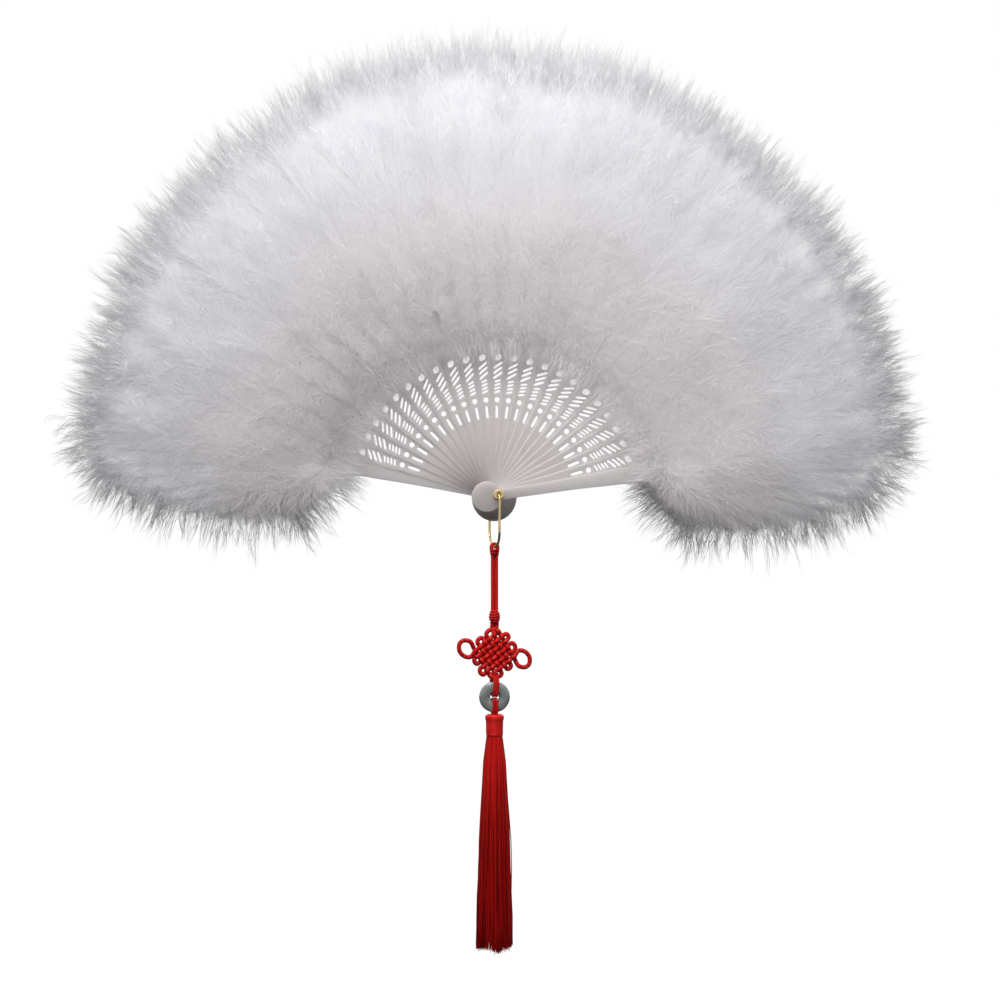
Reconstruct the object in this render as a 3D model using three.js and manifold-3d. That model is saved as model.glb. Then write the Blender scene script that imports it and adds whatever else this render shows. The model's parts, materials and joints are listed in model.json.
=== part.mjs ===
// Folding feather fan: pierced plastic sticks on one rivet, a marabou plume on every stick,
// and a wire bail carrying a knotted cord, a stone ring and a tassel.
// Millimetres, +Z up. The open fan lies in the XZ plane and faces -Y.
// The origin is on the rivet's axis, half way through the stack of sticks.
import * as THREE from "three";
import { mergeVertices } from "three/addons/utils/BufferGeometryUtils.js";
import Module from "manifold-3d";

const wasm = await Module();
wasm.setup();

// Gap that touching pieces keep
const seatGap = 0.3;

// The fold: pierced sticks between two plain guards
const stickCount = 23;
const stickPitch = 6.67; // degrees between neighbours when the fan is open
const fanLean = 1.6; // degrees that the open fan leans towards +X
const stickThick = 0.8;
const guardThick = 2;
const rivetRadius = 1.6;
const rivetHole = rivetRadius + 0.35;

// Plan of a stick, as distances from the rivet along it and half widths
const headRadius = 9;
const headOffset = 7; // the round head's centre lies this far behind the rivet
const neckAt = 15;
const neckHalf = 3.2;
const panelAt = 46;
const panelHalf = 3.7;
const shoulderAt = 88;
const shoulderHalf = 5.35;
const ribAt = 93.5;
const ribHalf = 2.2;
const tipAt = 205;
const tipHalf = 1.5;
const guardExtra = 0.8; // a guard is wider than a stick by this on each side of its rib

// Piercing of a stick, from the gorge outwards
const slitStart = 46;
const slitEnd = 53.2;
const slitHalf = 0.75;
const dotAt = 57;
const dotRadius = 1.5;
const smallSlots = { count: 4, start: 61.2, step: 2.15, tall: 1.15, half: 1.85, slope: 0.35 };
const largeSlots = { count: 3, start: 70.8, step: 3, tall: 1.6, half: 2.7, slope: 0.7 };
const eyeAt = 82.4;
const eyeHalfWide = 2;
const eyeHalfTall = 1.8;

// Plumes: one mass of fluff round every rib
const plumeStart = 99.4;
const plumeReach = 271; // distance from the rivet to the dense fluff's edge, at the longest plumes
const longestAt = 75; // degrees from +X to the longest plumes
const plumeDrop = 18; // the reach is this much less a quarter turn away from them
const plumeThick = 16.5; // half thickness where the fluff is fullest
const fullestAt = 0.4; // share of the plume's length where it is fullest
const plumeGap = 0.4;
const edgeShare = 0.82; // half thickness at a plume's sides, as a share of its middle
const lobeAngle = 22.5; // degrees that the guards' plumes hang past the guards
const lobeEdge = 0.3; // half thickness at their hanging edge, as a share of the middle

// Ribbon that links the sticks and stops the fan at its open angle
const ribbonThick = 0.3;
const ribbonWide = 3.6;
const ribbonAt = 96.6;
const ribbonFlat = 2.4; // degrees either side of a stick where the ribbon lies flat on it

// Rivet and bail
const rivetFlange = 3.4;
const flangeThick = 0.8;
const washerRadius = 3.6;
const washerThick = 0.6;
const lipRadius = 2.6;
const lipThick = 0.5;
const wireRadius = 0.75;
const boreRadius = wireRadius + 0.35;
const boreDepth = 7;
const bailHalf = 17.7; // half the distance between the bail's legs
const bailDrop = 31.7; // from the rivet to the bottom of the bail
const bailBow = 10; // height of the curve at the bottom of the bail

// Pendant: heights below the rivet
const cordRadius = 1;
const cordSpread = cordRadius + 0.12; // half the distance between the doubled cord's strands
const loopRadius = 0.8; // the thinner cord of the tassel's loop
const beadAt = 73.6;
const beadHalfTall = 4;
const beadHalfWide = 3.3;
const knotAt = 95.7;
const knotSide = 19.4;
const knotThick = 5.2;
const knotTilt = -8; // degrees
const earReach = 23.3; // from the knot's centre to the outside of an ear
const earRadius = 5.2;
const loopPitch = 6.4;
const loopReach = 5.6;
const loopHalf = 2;
const ringAt = 121.6;
const ringOuter = 9.3;
const ringInner = 2.7;
const ringThick = 4.4;
const capTop = 133.6;
const capLong = 11;
const capRadius = 5.4;
const capNeck = 4.7;
const skirtBottom = 273.3;
const skirtRadius = 11.4;
const skirtFlutes = 18;
const fluteDepth = 0.4;

// Values worked out from the sizes above
const layerStep = stickThick + seatGap;
const stackHalf = (stickCount * layerStep + seatGap) / 2 + guardThick;
const lastStick = stickCount + 1;
const middleStick = lastStick / 2;
const radians = Math.PI / 180;

const plastic = new THREE.MeshStandardMaterial({ color: 0xf1eeec, roughness: 0.38, metalness: 0 });
const feather = new THREE.MeshStandardMaterial({ color: 0xf4f2f3, roughness: 0.95, metalness: 0 });
const brass = new THREE.MeshStandardMaterial({ color: 0xc9a866, roughness: 0.3, metalness: 1 });
const redCord = new THREE.MeshStandardMaterial({ color: 0xb8120f, roughness: 0.6, metalness: 0 });
const redSilk = new THREE.MeshStandardMaterial({ color: 0x9c0c0d, roughness: 0.45, metalness: 0 });
const stone = new THREE.MeshStandardMaterial({ color: 0x8d9592, roughness: 0.25, metalness: 0 });
const satin = new THREE.MeshStandardMaterial({ color: 0xf3f1f0, roughness: 0.5, metalness: 0 });

const fan = new THREE.Group();

// A closed geometry as a solid for joining and cutting
function solidOf(geometry) {
  const bare = geometry.index ? geometry.toNonIndexed() : geometry.clone();
  bare.deleteAttribute("normal");
  bare.deleteAttribute("uv");
  const merged = mergeVertices(bare, 1e-4);
  return new wasm.Manifold(
    new wasm.Mesh({
      numProp: 3,
      vertProperties: new Float32Array(merged.attributes.position.array),
      triVerts: new Uint32Array(merged.index.array),
    }),
  );
}

function geometryOf(solid) {
  const mesh = solid.getMesh();
  const geometry = new THREE.BufferGeometry();
  geometry.setAttribute("position", new THREE.BufferAttribute(mesh.vertProperties, 3));
  geometry.setIndex(new THREE.BufferAttribute(mesh.triVerts, 1));
  geometry.computeVertexNormals();
  return geometry;
}

function named(name, geometry, material) {
  const mesh = new THREE.Mesh(geometry, material);
  mesh.name = name;
  return mesh;
}

// Closed surface through rings of points that all have the same even count. Each end is closed by
// strips between the ring's two halves.
function loft(rings) {
  const count = rings[0].length;
  const positions = rings.flat().flatMap((p) => [p.x, p.y, p.z]);
  const index = [];
  for (let k = 0; k + 1 < rings.length; k++) {
    for (let j = 0; j < count; j++) {
      const a = k * count + j;
      const b = k * count + ((j + 1) % count);
      index.push(a, b, a + count, b, b + count, a + count);
    }
  }
  const last = (rings.length - 1) * count;
  for (let a = 0; a + 1 < count / 2; a++) {
    const b = a + 1;
    const c = count - 1 - b;
    const d = count - 1 - a;
    index.push(a, c, b, a, d, c);
    index.push(last + a, last + b, last + c, last + a, last + c, last + d);
  }
  const geometry = new THREE.BufferGeometry();
  geometry.setAttribute("position", new THREE.Float32BufferAttribute(positions, 3));
  geometry.setIndex(index);
  return geometry;
}

// Tube of a round section along a smooth curve through the points
function tubeAlong(points, radius, steps, sides = 8) {
  const section = new THREE.Shape();
  for (let k = 0; k < sides; k++) {
    const turn = (k * 2 * Math.PI) / sides;
    const x = radius * Math.cos(turn);
    const y = radius * Math.sin(turn);
    k ? section.lineTo(x, y) : section.moveTo(x, y);
  }
  section.closePath();
  const path = new THREE.CatmullRomCurve3(points, false, "centripetal");
  return new THREE.ExtrudeGeometry(section, { steps, extrudePath: path, curveSegments: 1 });
}

// Turned shape about the Z axis, from [radius, height] pairs that start and end on the axis
function turned(profile, segments) {
  return new THREE.LatheGeometry(
    profile.map(([radius, height]) => new THREE.Vector2(radius, height)),
    segments,
  ).rotateX(Math.PI / 2);
}

// A flat plan, drawn with +Y along the stick, as a plate that stands in the XZ plane at depth y
function plate(shape, thick, y, curveSegments) {
  const geometry = new THREE.ExtrudeGeometry(shape, { depth: thick, bevelEnabled: false, curveSegments });
  return geometry.translate(0, 0, -thick / 2).rotateX(Math.PI / 2).translate(0, y, 0);
}

// Depth of each stick's middle: 0 is the rear guard, the last is the front guard
function stickDepth(place) {
  if (place === 0) return stackHalf - guardThick / 2;
  if (place === lastStick) return guardThick / 2 - stackHalf;
  return (middleStick - place) * layerStep;
}

function isGuard(place) {
  return place === 0 || place === lastStick;
}

// Sticks and their plumes are numbered from the rear guard, and the guards have names of their own
function nameAt(place, kind) {
  const guard = { 0: "rear_guard", [lastStick]: "front_guard" }[place];
  if (guard) return kind === "stick" ? guard : guard + "_plume";
  return kind + "_" + String(place).padStart(2, "0");
}

function thicknessOf(place) {
  return isGuard(place) ? guardThick : stickThick;
}

function stickAngle(place) {
  return 90 - fanLean + (middleStick - place) * stickPitch;
}

// Points on an arc about (x, y), from one turn to another
function arcPoints(x, y, radius, from, to, steps) {
  const points = [];
  for (let k = 0; k <= steps; k++) {
    const turn = from + ((to - from) * k) / steps;
    points.push(new THREE.Vector2(x + radius * Math.cos(turn), y + radius * Math.sin(turn)));
  }
  return points;
}

function closedPath(points) {
  const path = new THREE.Path();
  path.setFromPoints(points);
  path.closePath();
  return path;
}

function ellipsePath(y, halfWide, halfTall, steps) {
  const points = arcPoints(0, 0, 1, 0, -2 * Math.PI, steps).slice(0, steps);
  return closedPath(points.map((p) => new THREE.Vector2(halfWide * p.x, y + halfTall * p.y)));
}

// Outline of a stick or guard: round head, neck, widening panel, shoulders and a slim rib
function stickOutline(extra) {
  const headEnd = Math.acos(neckHalf / headRadius);
  const head = arcPoints(0, -headOffset, headRadius, headEnd, -Math.PI - headEnd, 14);
  const neck = new THREE.QuadraticBezierCurve(
    head.at(-1),
    new THREE.Vector2(-neckHalf, neckAt),
    new THREE.Vector2(-panelHalf, panelAt),
  ).getPoints(2);
  const shoulder = new THREE.QuadraticBezierCurve(
    new THREE.Vector2(-shoulderHalf, shoulderAt),
    new THREE.Vector2(-shoulderHalf, ribAt - 1),
    new THREE.Vector2(-ribHalf - extra, ribAt),
  ).getPoints(3);
  const tip = arcPoints(0, tipAt - tipHalf - extra, tipHalf + extra, Math.PI, Math.PI / 2, 2);
  const left = [...neck.slice(1), ...shoulder, ...tip];
  const right = left.slice(0, -1).map((p) => new THREE.Vector2(-p.x, p.y));
  const shape = new THREE.Shape([...head, ...left, ...right.reverse()].reverse());
  shape.holes.push(ellipsePath(0, rivetHole, rivetHole, 12));
  return shape;
}

function slantedSlot(at, { tall, half, slope }) {
  const rise = slope * half;
  return closedPath([
    new THREE.Vector2(-half, at - rise),
    new THREE.Vector2(-half, at + tall - rise),
    new THREE.Vector2(half, at + tall + rise),
    new THREE.Vector2(half, at + rise),
  ]);
}

function pierce(shape) {
  const slit = closedPath([
    new THREE.Vector2(0, slitStart),
    new THREE.Vector2(-slitHalf, slitStart + slitHalf),
    new THREE.Vector2(-slitHalf, slitEnd - slitHalf),
    new THREE.Vector2(0, slitEnd),
    new THREE.Vector2(slitHalf, slitEnd - slitHalf),
    new THREE.Vector2(slitHalf, slitStart + slitHalf),
  ]);
  const dot = ellipsePath(dotAt, dotRadius, dotRadius, 8);
  const eye = ellipsePath(eyeAt, eyeHalfWide, eyeHalfTall, 8);
  shape.holes.push(slit, dot, eye);
  for (const slots of [smallSlots, largeSlots]) {
    for (let k = 0; k < slots.count; k++) {
      shape.holes.push(slantedSlot(slots.start + k * slots.step, slots));
    }
  }
  return shape;
}

function stickMesh(place) {
  const guard = isGuard(place);
  const shape = guard ? stickOutline(guardExtra) : pierce(stickOutline(0));
  const geometry = plate(shape, thicknessOf(place), stickDepth(place), 5);
  return named(nameAt(place, "stick"), geometry, plastic);
}

// Half thickness of the fluff along a plume, for a share from 0 at its start to 1 at its end
function fluffHalf(share) {
  const quarter = Math.PI / 2;
  if (share < fullestAt) return plumeThick * (0.5 + 0.5 * Math.sin((quarter * share) / fullestAt));
  return plumeThick * (0.12 + 0.88 * Math.cos((quarter * (share - fullestAt)) / (1 - fullestAt)));
}

// Angle, from the plume's rib, that a guard's plume hangs over on its outer side
function lobeAt(share) {
  const round = 0.78 + 0.22 * Math.sin(Math.PI * Math.pow(share, 0.55));
  return lobeAngle * round * (1 - 0.55 * Math.pow(share, 1.5));
}

// A plume in its stick's own frame, with the rib along +Z: a wedge of the fan between its
// neighbours, with a slot for the rib. A guard's plume has a lobe on its outer side.
function plumeMesh(place) {
  const depth = stickDepth(place);
  const aside = (stickAngle(place) - longestAt) / 90;
  const reach = plumeReach - plumeDrop * aside * aside;
  const shares = [0, 0.1, 0.25, 0.4, 0.6, 0.76, 0.9, 1];
  const half = (stickPitch / 2) * radians;
  const rings = shares.map((share) => {
    const r = plumeStart + share * (reach - plumeStart);
    const thick = fluffHalf(share);
    const middle = depth * (1 - 0.5 * share);
    const side = half - plumeGap / 2 / r;
    const lobe = lobeAt(share) * radians;
    const plain = [[side, edgeShare]];
    const hanging = [
      [lobe * 0.6, 0.88],
      [lobe, lobeEdge],
    ];
    const left = (place === 0 ? hanging : plain).map(([turn, part]) => [-turn, part]).reverse();
    const right = place === lastStick ? hanging : plain;
    const stations = [...left, [0, 1], ...right];
    const at = (turn, y) => new THREE.Vector3(r * Math.sin(turn), y, r * Math.cos(turn));
    const front = stations.map(([turn, part]) => at(turn, middle - part * thick));
    const back = stations.map(([turn, part]) => at(turn, middle + part * thick));
    return [...front, ...back.reverse()];
  });
  const extra = isGuard(place) ? guardExtra : 0;
  const slot = new THREE.Shape();
  slot.moveTo(-ribHalf - extra - seatGap, plumeStart - 2);
  slot.lineTo(-tipHalf - extra - seatGap, tipAt + seatGap);
  slot.lineTo(tipHalf + extra + seatGap, tipAt + seatGap);
  slot.lineTo(ribHalf + extra + seatGap, plumeStart - 2);
  slot.closePath();
  const cut = plate(slot, thicknessOf(place) + 2 * seatGap, depth, 1);
  const geometry = geometryOf(solidOf(loft(rings)).subtract(solidOf(cut)));
  return named(nameAt(place, "plume"), geometry, feather);
}

function buildSticks() {
  for (let place = 0; place <= lastStick; place++) {
    const blade = new THREE.Group();
    blade.rotation.y = (90 - stickAngle(place)) * radians;
    blade.add(stickMesh(place), plumeMesh(place));
    fan.add(blade);
  }
}

// Tape glued to the back of every rib, stepping from one stick's depth to the next
function buildRibbon() {
  const rings = [];
  const station = (angle, y) => {
    const inner = ribbonAt - ribbonWide / 2;
    const outer = ribbonAt + ribbonWide / 2;
    const turn = angle * radians;
    const at = (r, depth) => new THREE.Vector3(r * Math.cos(turn), depth, r * Math.sin(turn));
    rings.push([at(inner, y), at(inner, y + ribbonThick), at(outer, y + ribbonThick), at(outer, y)]);
  };
  for (let place = 0; place <= lastStick; place++) {
    const back = stickDepth(place) + thicknessOf(place) / 2 + seatGap;
    station(stickAngle(place) + ribbonFlat, back);
    station(stickAngle(place) - ribbonFlat, back);
  }
  fan.add(named("link_ribbon", loft(rings), satin));
}

// Hollow rivet through every stick, with a flange in front and a rolled lip behind the washer
function buildRivet() {
  const front = stackHalf + seatGap;
  const washerAt = stackHalf + seatGap;
  const lipAt = washerAt + washerThick + seatGap;
  const end = lipAt + lipThick;
  const profile = [
    [0, boreDepth - front - flangeThick],
    [boreRadius, boreDepth - front - flangeThick],
    [boreRadius, -front - flangeThick],
    [rivetFlange, -front - flangeThick],
    [rivetFlange, -front],
    [rivetRadius, -front],
    [rivetRadius, lipAt],
    [lipRadius, lipAt],
    [lipRadius, end],
    [boreRadius, end],
    [boreRadius, end - boreDepth],
    [0, end - boreDepth],
  ];
  // The lathe turns about Y already, so it is left unturned here
  const points = profile.map(([radius, depth]) => new THREE.Vector2(radius, depth));
  fan.add(named("pivot_rivet", new THREE.LatheGeometry(points, 16), brass));
  const washer = new THREE.Shape();
  washer.absarc(0, 0, washerRadius, 0, 2 * Math.PI, false);
  const hole = new THREE.Path();
  hole.absarc(0, 0, rivetHole, 0, 2 * Math.PI, true);
  washer.holes.push(hole);
  fan.add(named("rivet_washer", plate(washer, washerThick, washerAt + washerThick / 2, 8), brass));
}

// Wire bail: its two ends turn in the rivet's bores and its legs straddle the stack
function buildBail() {
  const endDepth = stackHalf + seatGap - boreDepth + 2;
  const bend = 2;
  const straight = bailDrop - bailBow;
  const side = [
    [endDepth, 0],
    [(endDepth + bailHalf - bend) / 2, 0],
    [bailHalf - bend, 0],
    [bailHalf - bend * 0.3, -bend * 0.3],
    [bailHalf, -bend],
    [bailHalf, -straight * 0.6],
  ];
  const bow = [];
  for (let k = 0; k <= 8; k++) {
    const turn = (Math.PI * k) / 8;
    bow.push([bailHalf * Math.cos(turn), -straight - bailBow * Math.sin(turn)]);
  }
  const mirrored = side.map(([y, z]) => [-y, z]).reverse();
  const points = [...side, ...bow, ...mirrored].map(([y, z]) => new THREE.Vector3(0, y, z));
  fan.add(named("wire_bail", tubeAlong(points, wireRadius, 44), brass));
}

// Doubled cord: up from the knot, over the bail's wire and down again
function buildHangingCord() {
  const over = wireRadius + seatGap + cordRadius;
  const bottom = beadAt - beadHalfTall - seatGap;
  const strand = [
    [cordSpread, -bottom],
    [cordSpread, -bottom + 6],
    [cordSpread, -bottom + 14],
    [cordSpread, -bottom + 22],
    [cordSpread + 0.1, -bailDrop - 9],
    [cordSpread + 0.5, -bailDrop - 4.5],
    [over, -bailDrop - 0.8],
    [over * 0.72, -bailDrop + over * 0.72],
  ];
  const back = strand.map(([x, z]) => [-x, z]).reverse();
  const points = [...strand, [0, -bailDrop + over], ...back].map(([x, z]) => new THREE.Vector3(x, 0, z));
  fan.add(named("hanging_cord", tubeAlong(points, cordRadius, 36), redCord));
}

// Loop of cord that stands out of a knot at (x, z), towards the turn, so wide and so far
function sideLoop(x, z, turn, half, reach) {
  const out = new THREE.Vector2(Math.cos(turn), Math.sin(turn));
  const across = new THREE.Vector2(-out.y, out.x);
  const at = (far, side) =>
    new THREE.Vector3(x + out.x * far + across.x * side, 0, z + out.y * far + across.y * side);
  const points = [
    at(-2.2, half * 0.5),
    at(0, half * 0.8),
    at(reach * 0.55, half),
    at(reach * 0.93, half * 0.55),
    at(reach, 0),
    at(reach * 0.93, -half * 0.55),
    at(reach * 0.55, -half),
    at(0, -half * 0.8),
    at(-2.2, -half * 0.5),
  ];
  return tubeAlong(points, cordRadius, 10, 6);
}

// The cord's bead knot and mystic knot, with the loop below it that carries the ring: all one cord
function buildKnot() {
  const pad = new THREE.Shape();
  const halfSide = knotSide / 2;
  pad.moveTo(-halfSide, -halfSide);
  pad.lineTo(halfSide, -halfSide);
  pad.lineTo(halfSide, halfSide);
  pad.lineTo(-halfSide, halfSide);
  pad.closePath();
  const bevel = knotThick * 0.3;
  const padGeometry = new THREE.ExtrudeGeometry(pad, {
    depth: knotThick - 2 * bevel,
    bevelThickness: bevel,
    bevelSize: bevel,
    bevelOffset: -bevel,
    bevelSegments: 2,
  })
    .translate(0, 0, bevel - knotThick / 2)
    .rotateX(Math.PI / 2)
    .rotateY(Math.PI / 4);
  const pieces = [solidOf(padGeometry)];
  const corner = knotSide / Math.SQRT2;
  for (const side of [0, Math.PI]) {
    const x = (corner - 1.2) * Math.cos(side);
    pieces.push(solidOf(sideLoop(x, 0, side, earRadius, earReach - cordRadius - corner + 1.2)));
  }
  for (let side = 0; side < 4; side++) {
    const turn = Math.PI / 4 + (side * Math.PI) / 2;
    for (const along of [-loopPitch / 2, loopPitch / 2]) {
      const x = halfSide * Math.cos(turn) - along * Math.sin(turn);
      const z = halfSide * Math.sin(turn) + along * Math.cos(turn);
      pieces.push(solidOf(sideLoop(x, z, turn, loopHalf, loopReach - cordRadius)));
    }
  }
  const tilted = wasm.Manifold.union(pieces).rotate([0, -knotTilt, 0]).translate([0, 0, -knotAt]);
  const beadProfile = [];
  for (let k = 0; k <= 8; k++) {
    const turn = (Math.PI * k) / 8 - Math.PI / 2;
    const radius = k === 0 || k === 8 ? 0 : beadHalfWide * Math.cos(turn);
    beadProfile.push([radius, beadHalfTall * Math.sin(turn)]);
  }
  const bead = solidOf(turned(beadProfile, 12).translate(0, 0, -beadAt));
  const neckLong = knotAt - corner * 0.6 - beadAt;
  const neck = solidOf(
    new THREE.CylinderGeometry(cordSpread + cordRadius, cordSpread + cordRadius, neckLong, 10)
      .rotateX(Math.PI / 2)
      .translate(0, 0, -beadAt - neckLong / 2),
  );
  const rimDepth = ringThick / 2 + seatGap + cordRadius;
  const hangAt = ringAt - ringInner + seatGap + cordRadius;
  const hanger = [
    [cordRadius, knotAt + corner - 5],
    [cordRadius * 1.3, knotAt + corner - 2],
    [rimDepth * 0.75, ringAt - ringOuter - 2],
    [rimDepth, ringAt - ringOuter + 1.5],
    [rimDepth, hangAt - 2.6],
    [rimDepth * 0.72, hangAt - 0.7],
  ];
  const behind = hanger.map(([y, z]) => [-y, z]).reverse();
  const points = [...hanger, [0, hangAt], ...behind].map(([y, z]) => new THREE.Vector3(0, -y, -z));
  const loop = solidOf(tubeAlong(points, cordRadius, 24, 6));
  const knot = wasm.Manifold.union([tilted, bead, neck, loop]);
  fan.add(named("mystic_knot", geometryOf(knot), redCord));
}

function buildRing() {
  const half = ringThick / 2;
  const round = 1.1;
  const profile = [
    [ringInner, -half + round],
    [ringInner + round, -half],
    [ringOuter - round, -half],
    [ringOuter, -half + round],
    [ringOuter, half - round],
    [ringOuter - round, half],
    [ringInner + round, half],
    [ringInner, half - round],
    [ringInner, -half + round],
  ].map(([radius, depth]) => new THREE.Vector2(radius, depth));
  const geometry = new THREE.LatheGeometry(profile, 28).translate(0, 0, -ringAt);
  fan.add(named("stone_ring", geometry, stone));
  const rimDepth = ringThick / 2 + seatGap + loopRadius;
  const passAt = ringAt + ringInner - seatGap - loopRadius;
  const foot = capTop - seatGap;
  const loopSpread = loopRadius + seatGap;
  const side = [
    [loopSpread, foot],
    [loopSpread + 0.15, foot - 0.7],
    [rimDepth * 0.76, ringAt + ringOuter + 0.3],
    [rimDepth, ringAt + ringOuter - 2],
    [rimDepth, passAt + 2.4],
    [rimDepth * 0.72, passAt + 0.7],
  ];
  const behind = side.map(([y, z]) => [-y, z]).reverse();
  const points = [...side, [0, passAt], ...behind].map(([y, z]) => new THREE.Vector3(0, -y, -z));
  fan.add(named("tassel_loop", tubeAlong(points, loopRadius, 24), redCord));
}

// Wrapped head and fluted skirt of the tassel
function buildTassel() {
  const capProfile = [
    [0, -capTop - capLong],
    [capNeck, -capTop - capLong],
    [capNeck, -capTop - capLong * 0.62],
    [capRadius, -capTop - capLong * 0.54],
    [capRadius, -capTop - capLong * 0.34],
    [capRadius * 0.72, -capTop - capLong * 0.18],
    [capRadius * 0.3, -capTop - capLong * 0.1],
    [0, -capTop],
  ];
  fan.add(named("tassel_cap", turned(capProfile, 20), redSilk));
  const top = capTop + capLong + seatGap;
  const stations = [
    [0, capNeck],
    [0.05, capNeck + 1],
    [0.24, 7.3],
    [0.48, 9.3],
    [0.88, 10.6],
    [1, skirtRadius],
  ];
  const count = 2 * skirtFlutes;
  const rings = stations.map(([share, radius]) => {
    const ring = [];
    for (let k = 0; k < count; k++) {
      const turn = (2 * Math.PI * k) / count;
      const r = radius - (k % 2 ? fluteDepth * Math.min(1, share * 8) : 0);
      const height = -top - share * (skirtBottom - top);
      ring.push(new THREE.Vector3(r * Math.cos(turn), -r * Math.sin(turn), height));
    }
    return ring;
  });
  fan.add(named("tassel_skirt", loft(rings), redSilk));
}

buildSticks();
buildRibbon();
buildRivet();
buildBail();
buildHangingCord();
buildKnot();
buildRing();
buildTassel();

export default fan;
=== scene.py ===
import json

import bmesh
import bpy
import numpy as np
from numpy import cos, pi, radians, sin
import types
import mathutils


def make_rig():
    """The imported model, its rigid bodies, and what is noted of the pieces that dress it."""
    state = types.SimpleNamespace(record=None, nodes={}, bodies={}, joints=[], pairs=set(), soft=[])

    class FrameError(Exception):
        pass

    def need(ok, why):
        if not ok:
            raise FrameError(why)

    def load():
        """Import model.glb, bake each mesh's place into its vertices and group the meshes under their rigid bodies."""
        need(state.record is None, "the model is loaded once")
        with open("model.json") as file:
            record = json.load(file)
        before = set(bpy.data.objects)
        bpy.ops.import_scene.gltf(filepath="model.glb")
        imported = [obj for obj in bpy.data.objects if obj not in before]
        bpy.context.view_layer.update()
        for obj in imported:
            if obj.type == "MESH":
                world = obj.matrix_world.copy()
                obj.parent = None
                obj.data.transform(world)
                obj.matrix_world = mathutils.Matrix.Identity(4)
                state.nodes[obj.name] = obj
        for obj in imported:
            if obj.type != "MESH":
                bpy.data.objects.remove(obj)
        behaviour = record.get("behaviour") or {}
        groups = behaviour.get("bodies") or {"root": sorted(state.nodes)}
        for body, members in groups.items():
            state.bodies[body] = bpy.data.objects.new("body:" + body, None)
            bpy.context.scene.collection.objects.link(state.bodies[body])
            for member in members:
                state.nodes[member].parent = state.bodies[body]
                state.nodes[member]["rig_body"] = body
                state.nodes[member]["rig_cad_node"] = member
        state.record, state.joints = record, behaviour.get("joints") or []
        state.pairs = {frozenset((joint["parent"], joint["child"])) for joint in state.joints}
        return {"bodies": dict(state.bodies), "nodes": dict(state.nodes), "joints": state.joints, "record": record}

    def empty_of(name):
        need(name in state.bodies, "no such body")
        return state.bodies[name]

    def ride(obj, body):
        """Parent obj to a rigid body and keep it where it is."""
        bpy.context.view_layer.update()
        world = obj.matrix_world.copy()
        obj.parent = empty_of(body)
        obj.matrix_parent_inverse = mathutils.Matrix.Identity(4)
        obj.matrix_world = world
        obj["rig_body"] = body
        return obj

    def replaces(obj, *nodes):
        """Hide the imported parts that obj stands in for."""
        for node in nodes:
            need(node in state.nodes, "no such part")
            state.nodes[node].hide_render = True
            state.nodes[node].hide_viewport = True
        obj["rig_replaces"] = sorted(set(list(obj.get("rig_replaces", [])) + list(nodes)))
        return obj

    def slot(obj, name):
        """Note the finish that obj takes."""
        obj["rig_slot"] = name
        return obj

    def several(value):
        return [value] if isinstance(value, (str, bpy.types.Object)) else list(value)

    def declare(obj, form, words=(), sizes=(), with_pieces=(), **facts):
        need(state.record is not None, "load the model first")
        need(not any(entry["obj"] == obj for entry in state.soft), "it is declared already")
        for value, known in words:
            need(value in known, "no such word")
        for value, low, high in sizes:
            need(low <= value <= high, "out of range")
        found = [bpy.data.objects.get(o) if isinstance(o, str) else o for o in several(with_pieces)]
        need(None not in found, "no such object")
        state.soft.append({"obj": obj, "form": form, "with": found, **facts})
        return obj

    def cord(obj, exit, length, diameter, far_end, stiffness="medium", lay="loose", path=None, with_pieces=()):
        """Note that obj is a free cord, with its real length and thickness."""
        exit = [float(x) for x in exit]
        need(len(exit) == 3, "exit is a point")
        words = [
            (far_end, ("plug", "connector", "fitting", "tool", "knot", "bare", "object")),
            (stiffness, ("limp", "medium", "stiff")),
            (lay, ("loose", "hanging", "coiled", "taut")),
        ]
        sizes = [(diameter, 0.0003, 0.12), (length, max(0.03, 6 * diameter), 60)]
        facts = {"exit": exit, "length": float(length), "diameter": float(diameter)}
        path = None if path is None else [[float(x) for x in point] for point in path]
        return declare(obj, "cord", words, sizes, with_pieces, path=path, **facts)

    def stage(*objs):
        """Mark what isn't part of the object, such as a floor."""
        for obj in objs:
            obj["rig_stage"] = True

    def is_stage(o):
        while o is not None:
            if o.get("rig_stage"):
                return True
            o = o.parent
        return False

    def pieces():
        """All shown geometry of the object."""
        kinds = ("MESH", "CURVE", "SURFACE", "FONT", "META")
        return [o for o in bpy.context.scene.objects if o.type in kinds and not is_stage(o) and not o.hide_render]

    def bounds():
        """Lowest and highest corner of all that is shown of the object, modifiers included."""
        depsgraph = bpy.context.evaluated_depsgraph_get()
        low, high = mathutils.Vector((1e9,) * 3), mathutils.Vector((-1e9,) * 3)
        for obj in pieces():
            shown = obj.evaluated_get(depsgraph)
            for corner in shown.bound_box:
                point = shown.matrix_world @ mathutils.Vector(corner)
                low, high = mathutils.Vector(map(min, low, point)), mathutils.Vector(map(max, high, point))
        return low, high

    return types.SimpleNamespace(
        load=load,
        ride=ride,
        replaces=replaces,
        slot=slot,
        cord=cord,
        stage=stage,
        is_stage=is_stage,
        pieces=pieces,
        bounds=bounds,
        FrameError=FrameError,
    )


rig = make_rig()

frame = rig.load()
cadLow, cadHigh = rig.bounds()
scene = bpy.context.scene
mm = 0.001


class Spec(dict):  # the settings of one piece, each read by its name
    __getattr__ = dict.__getitem__


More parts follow.
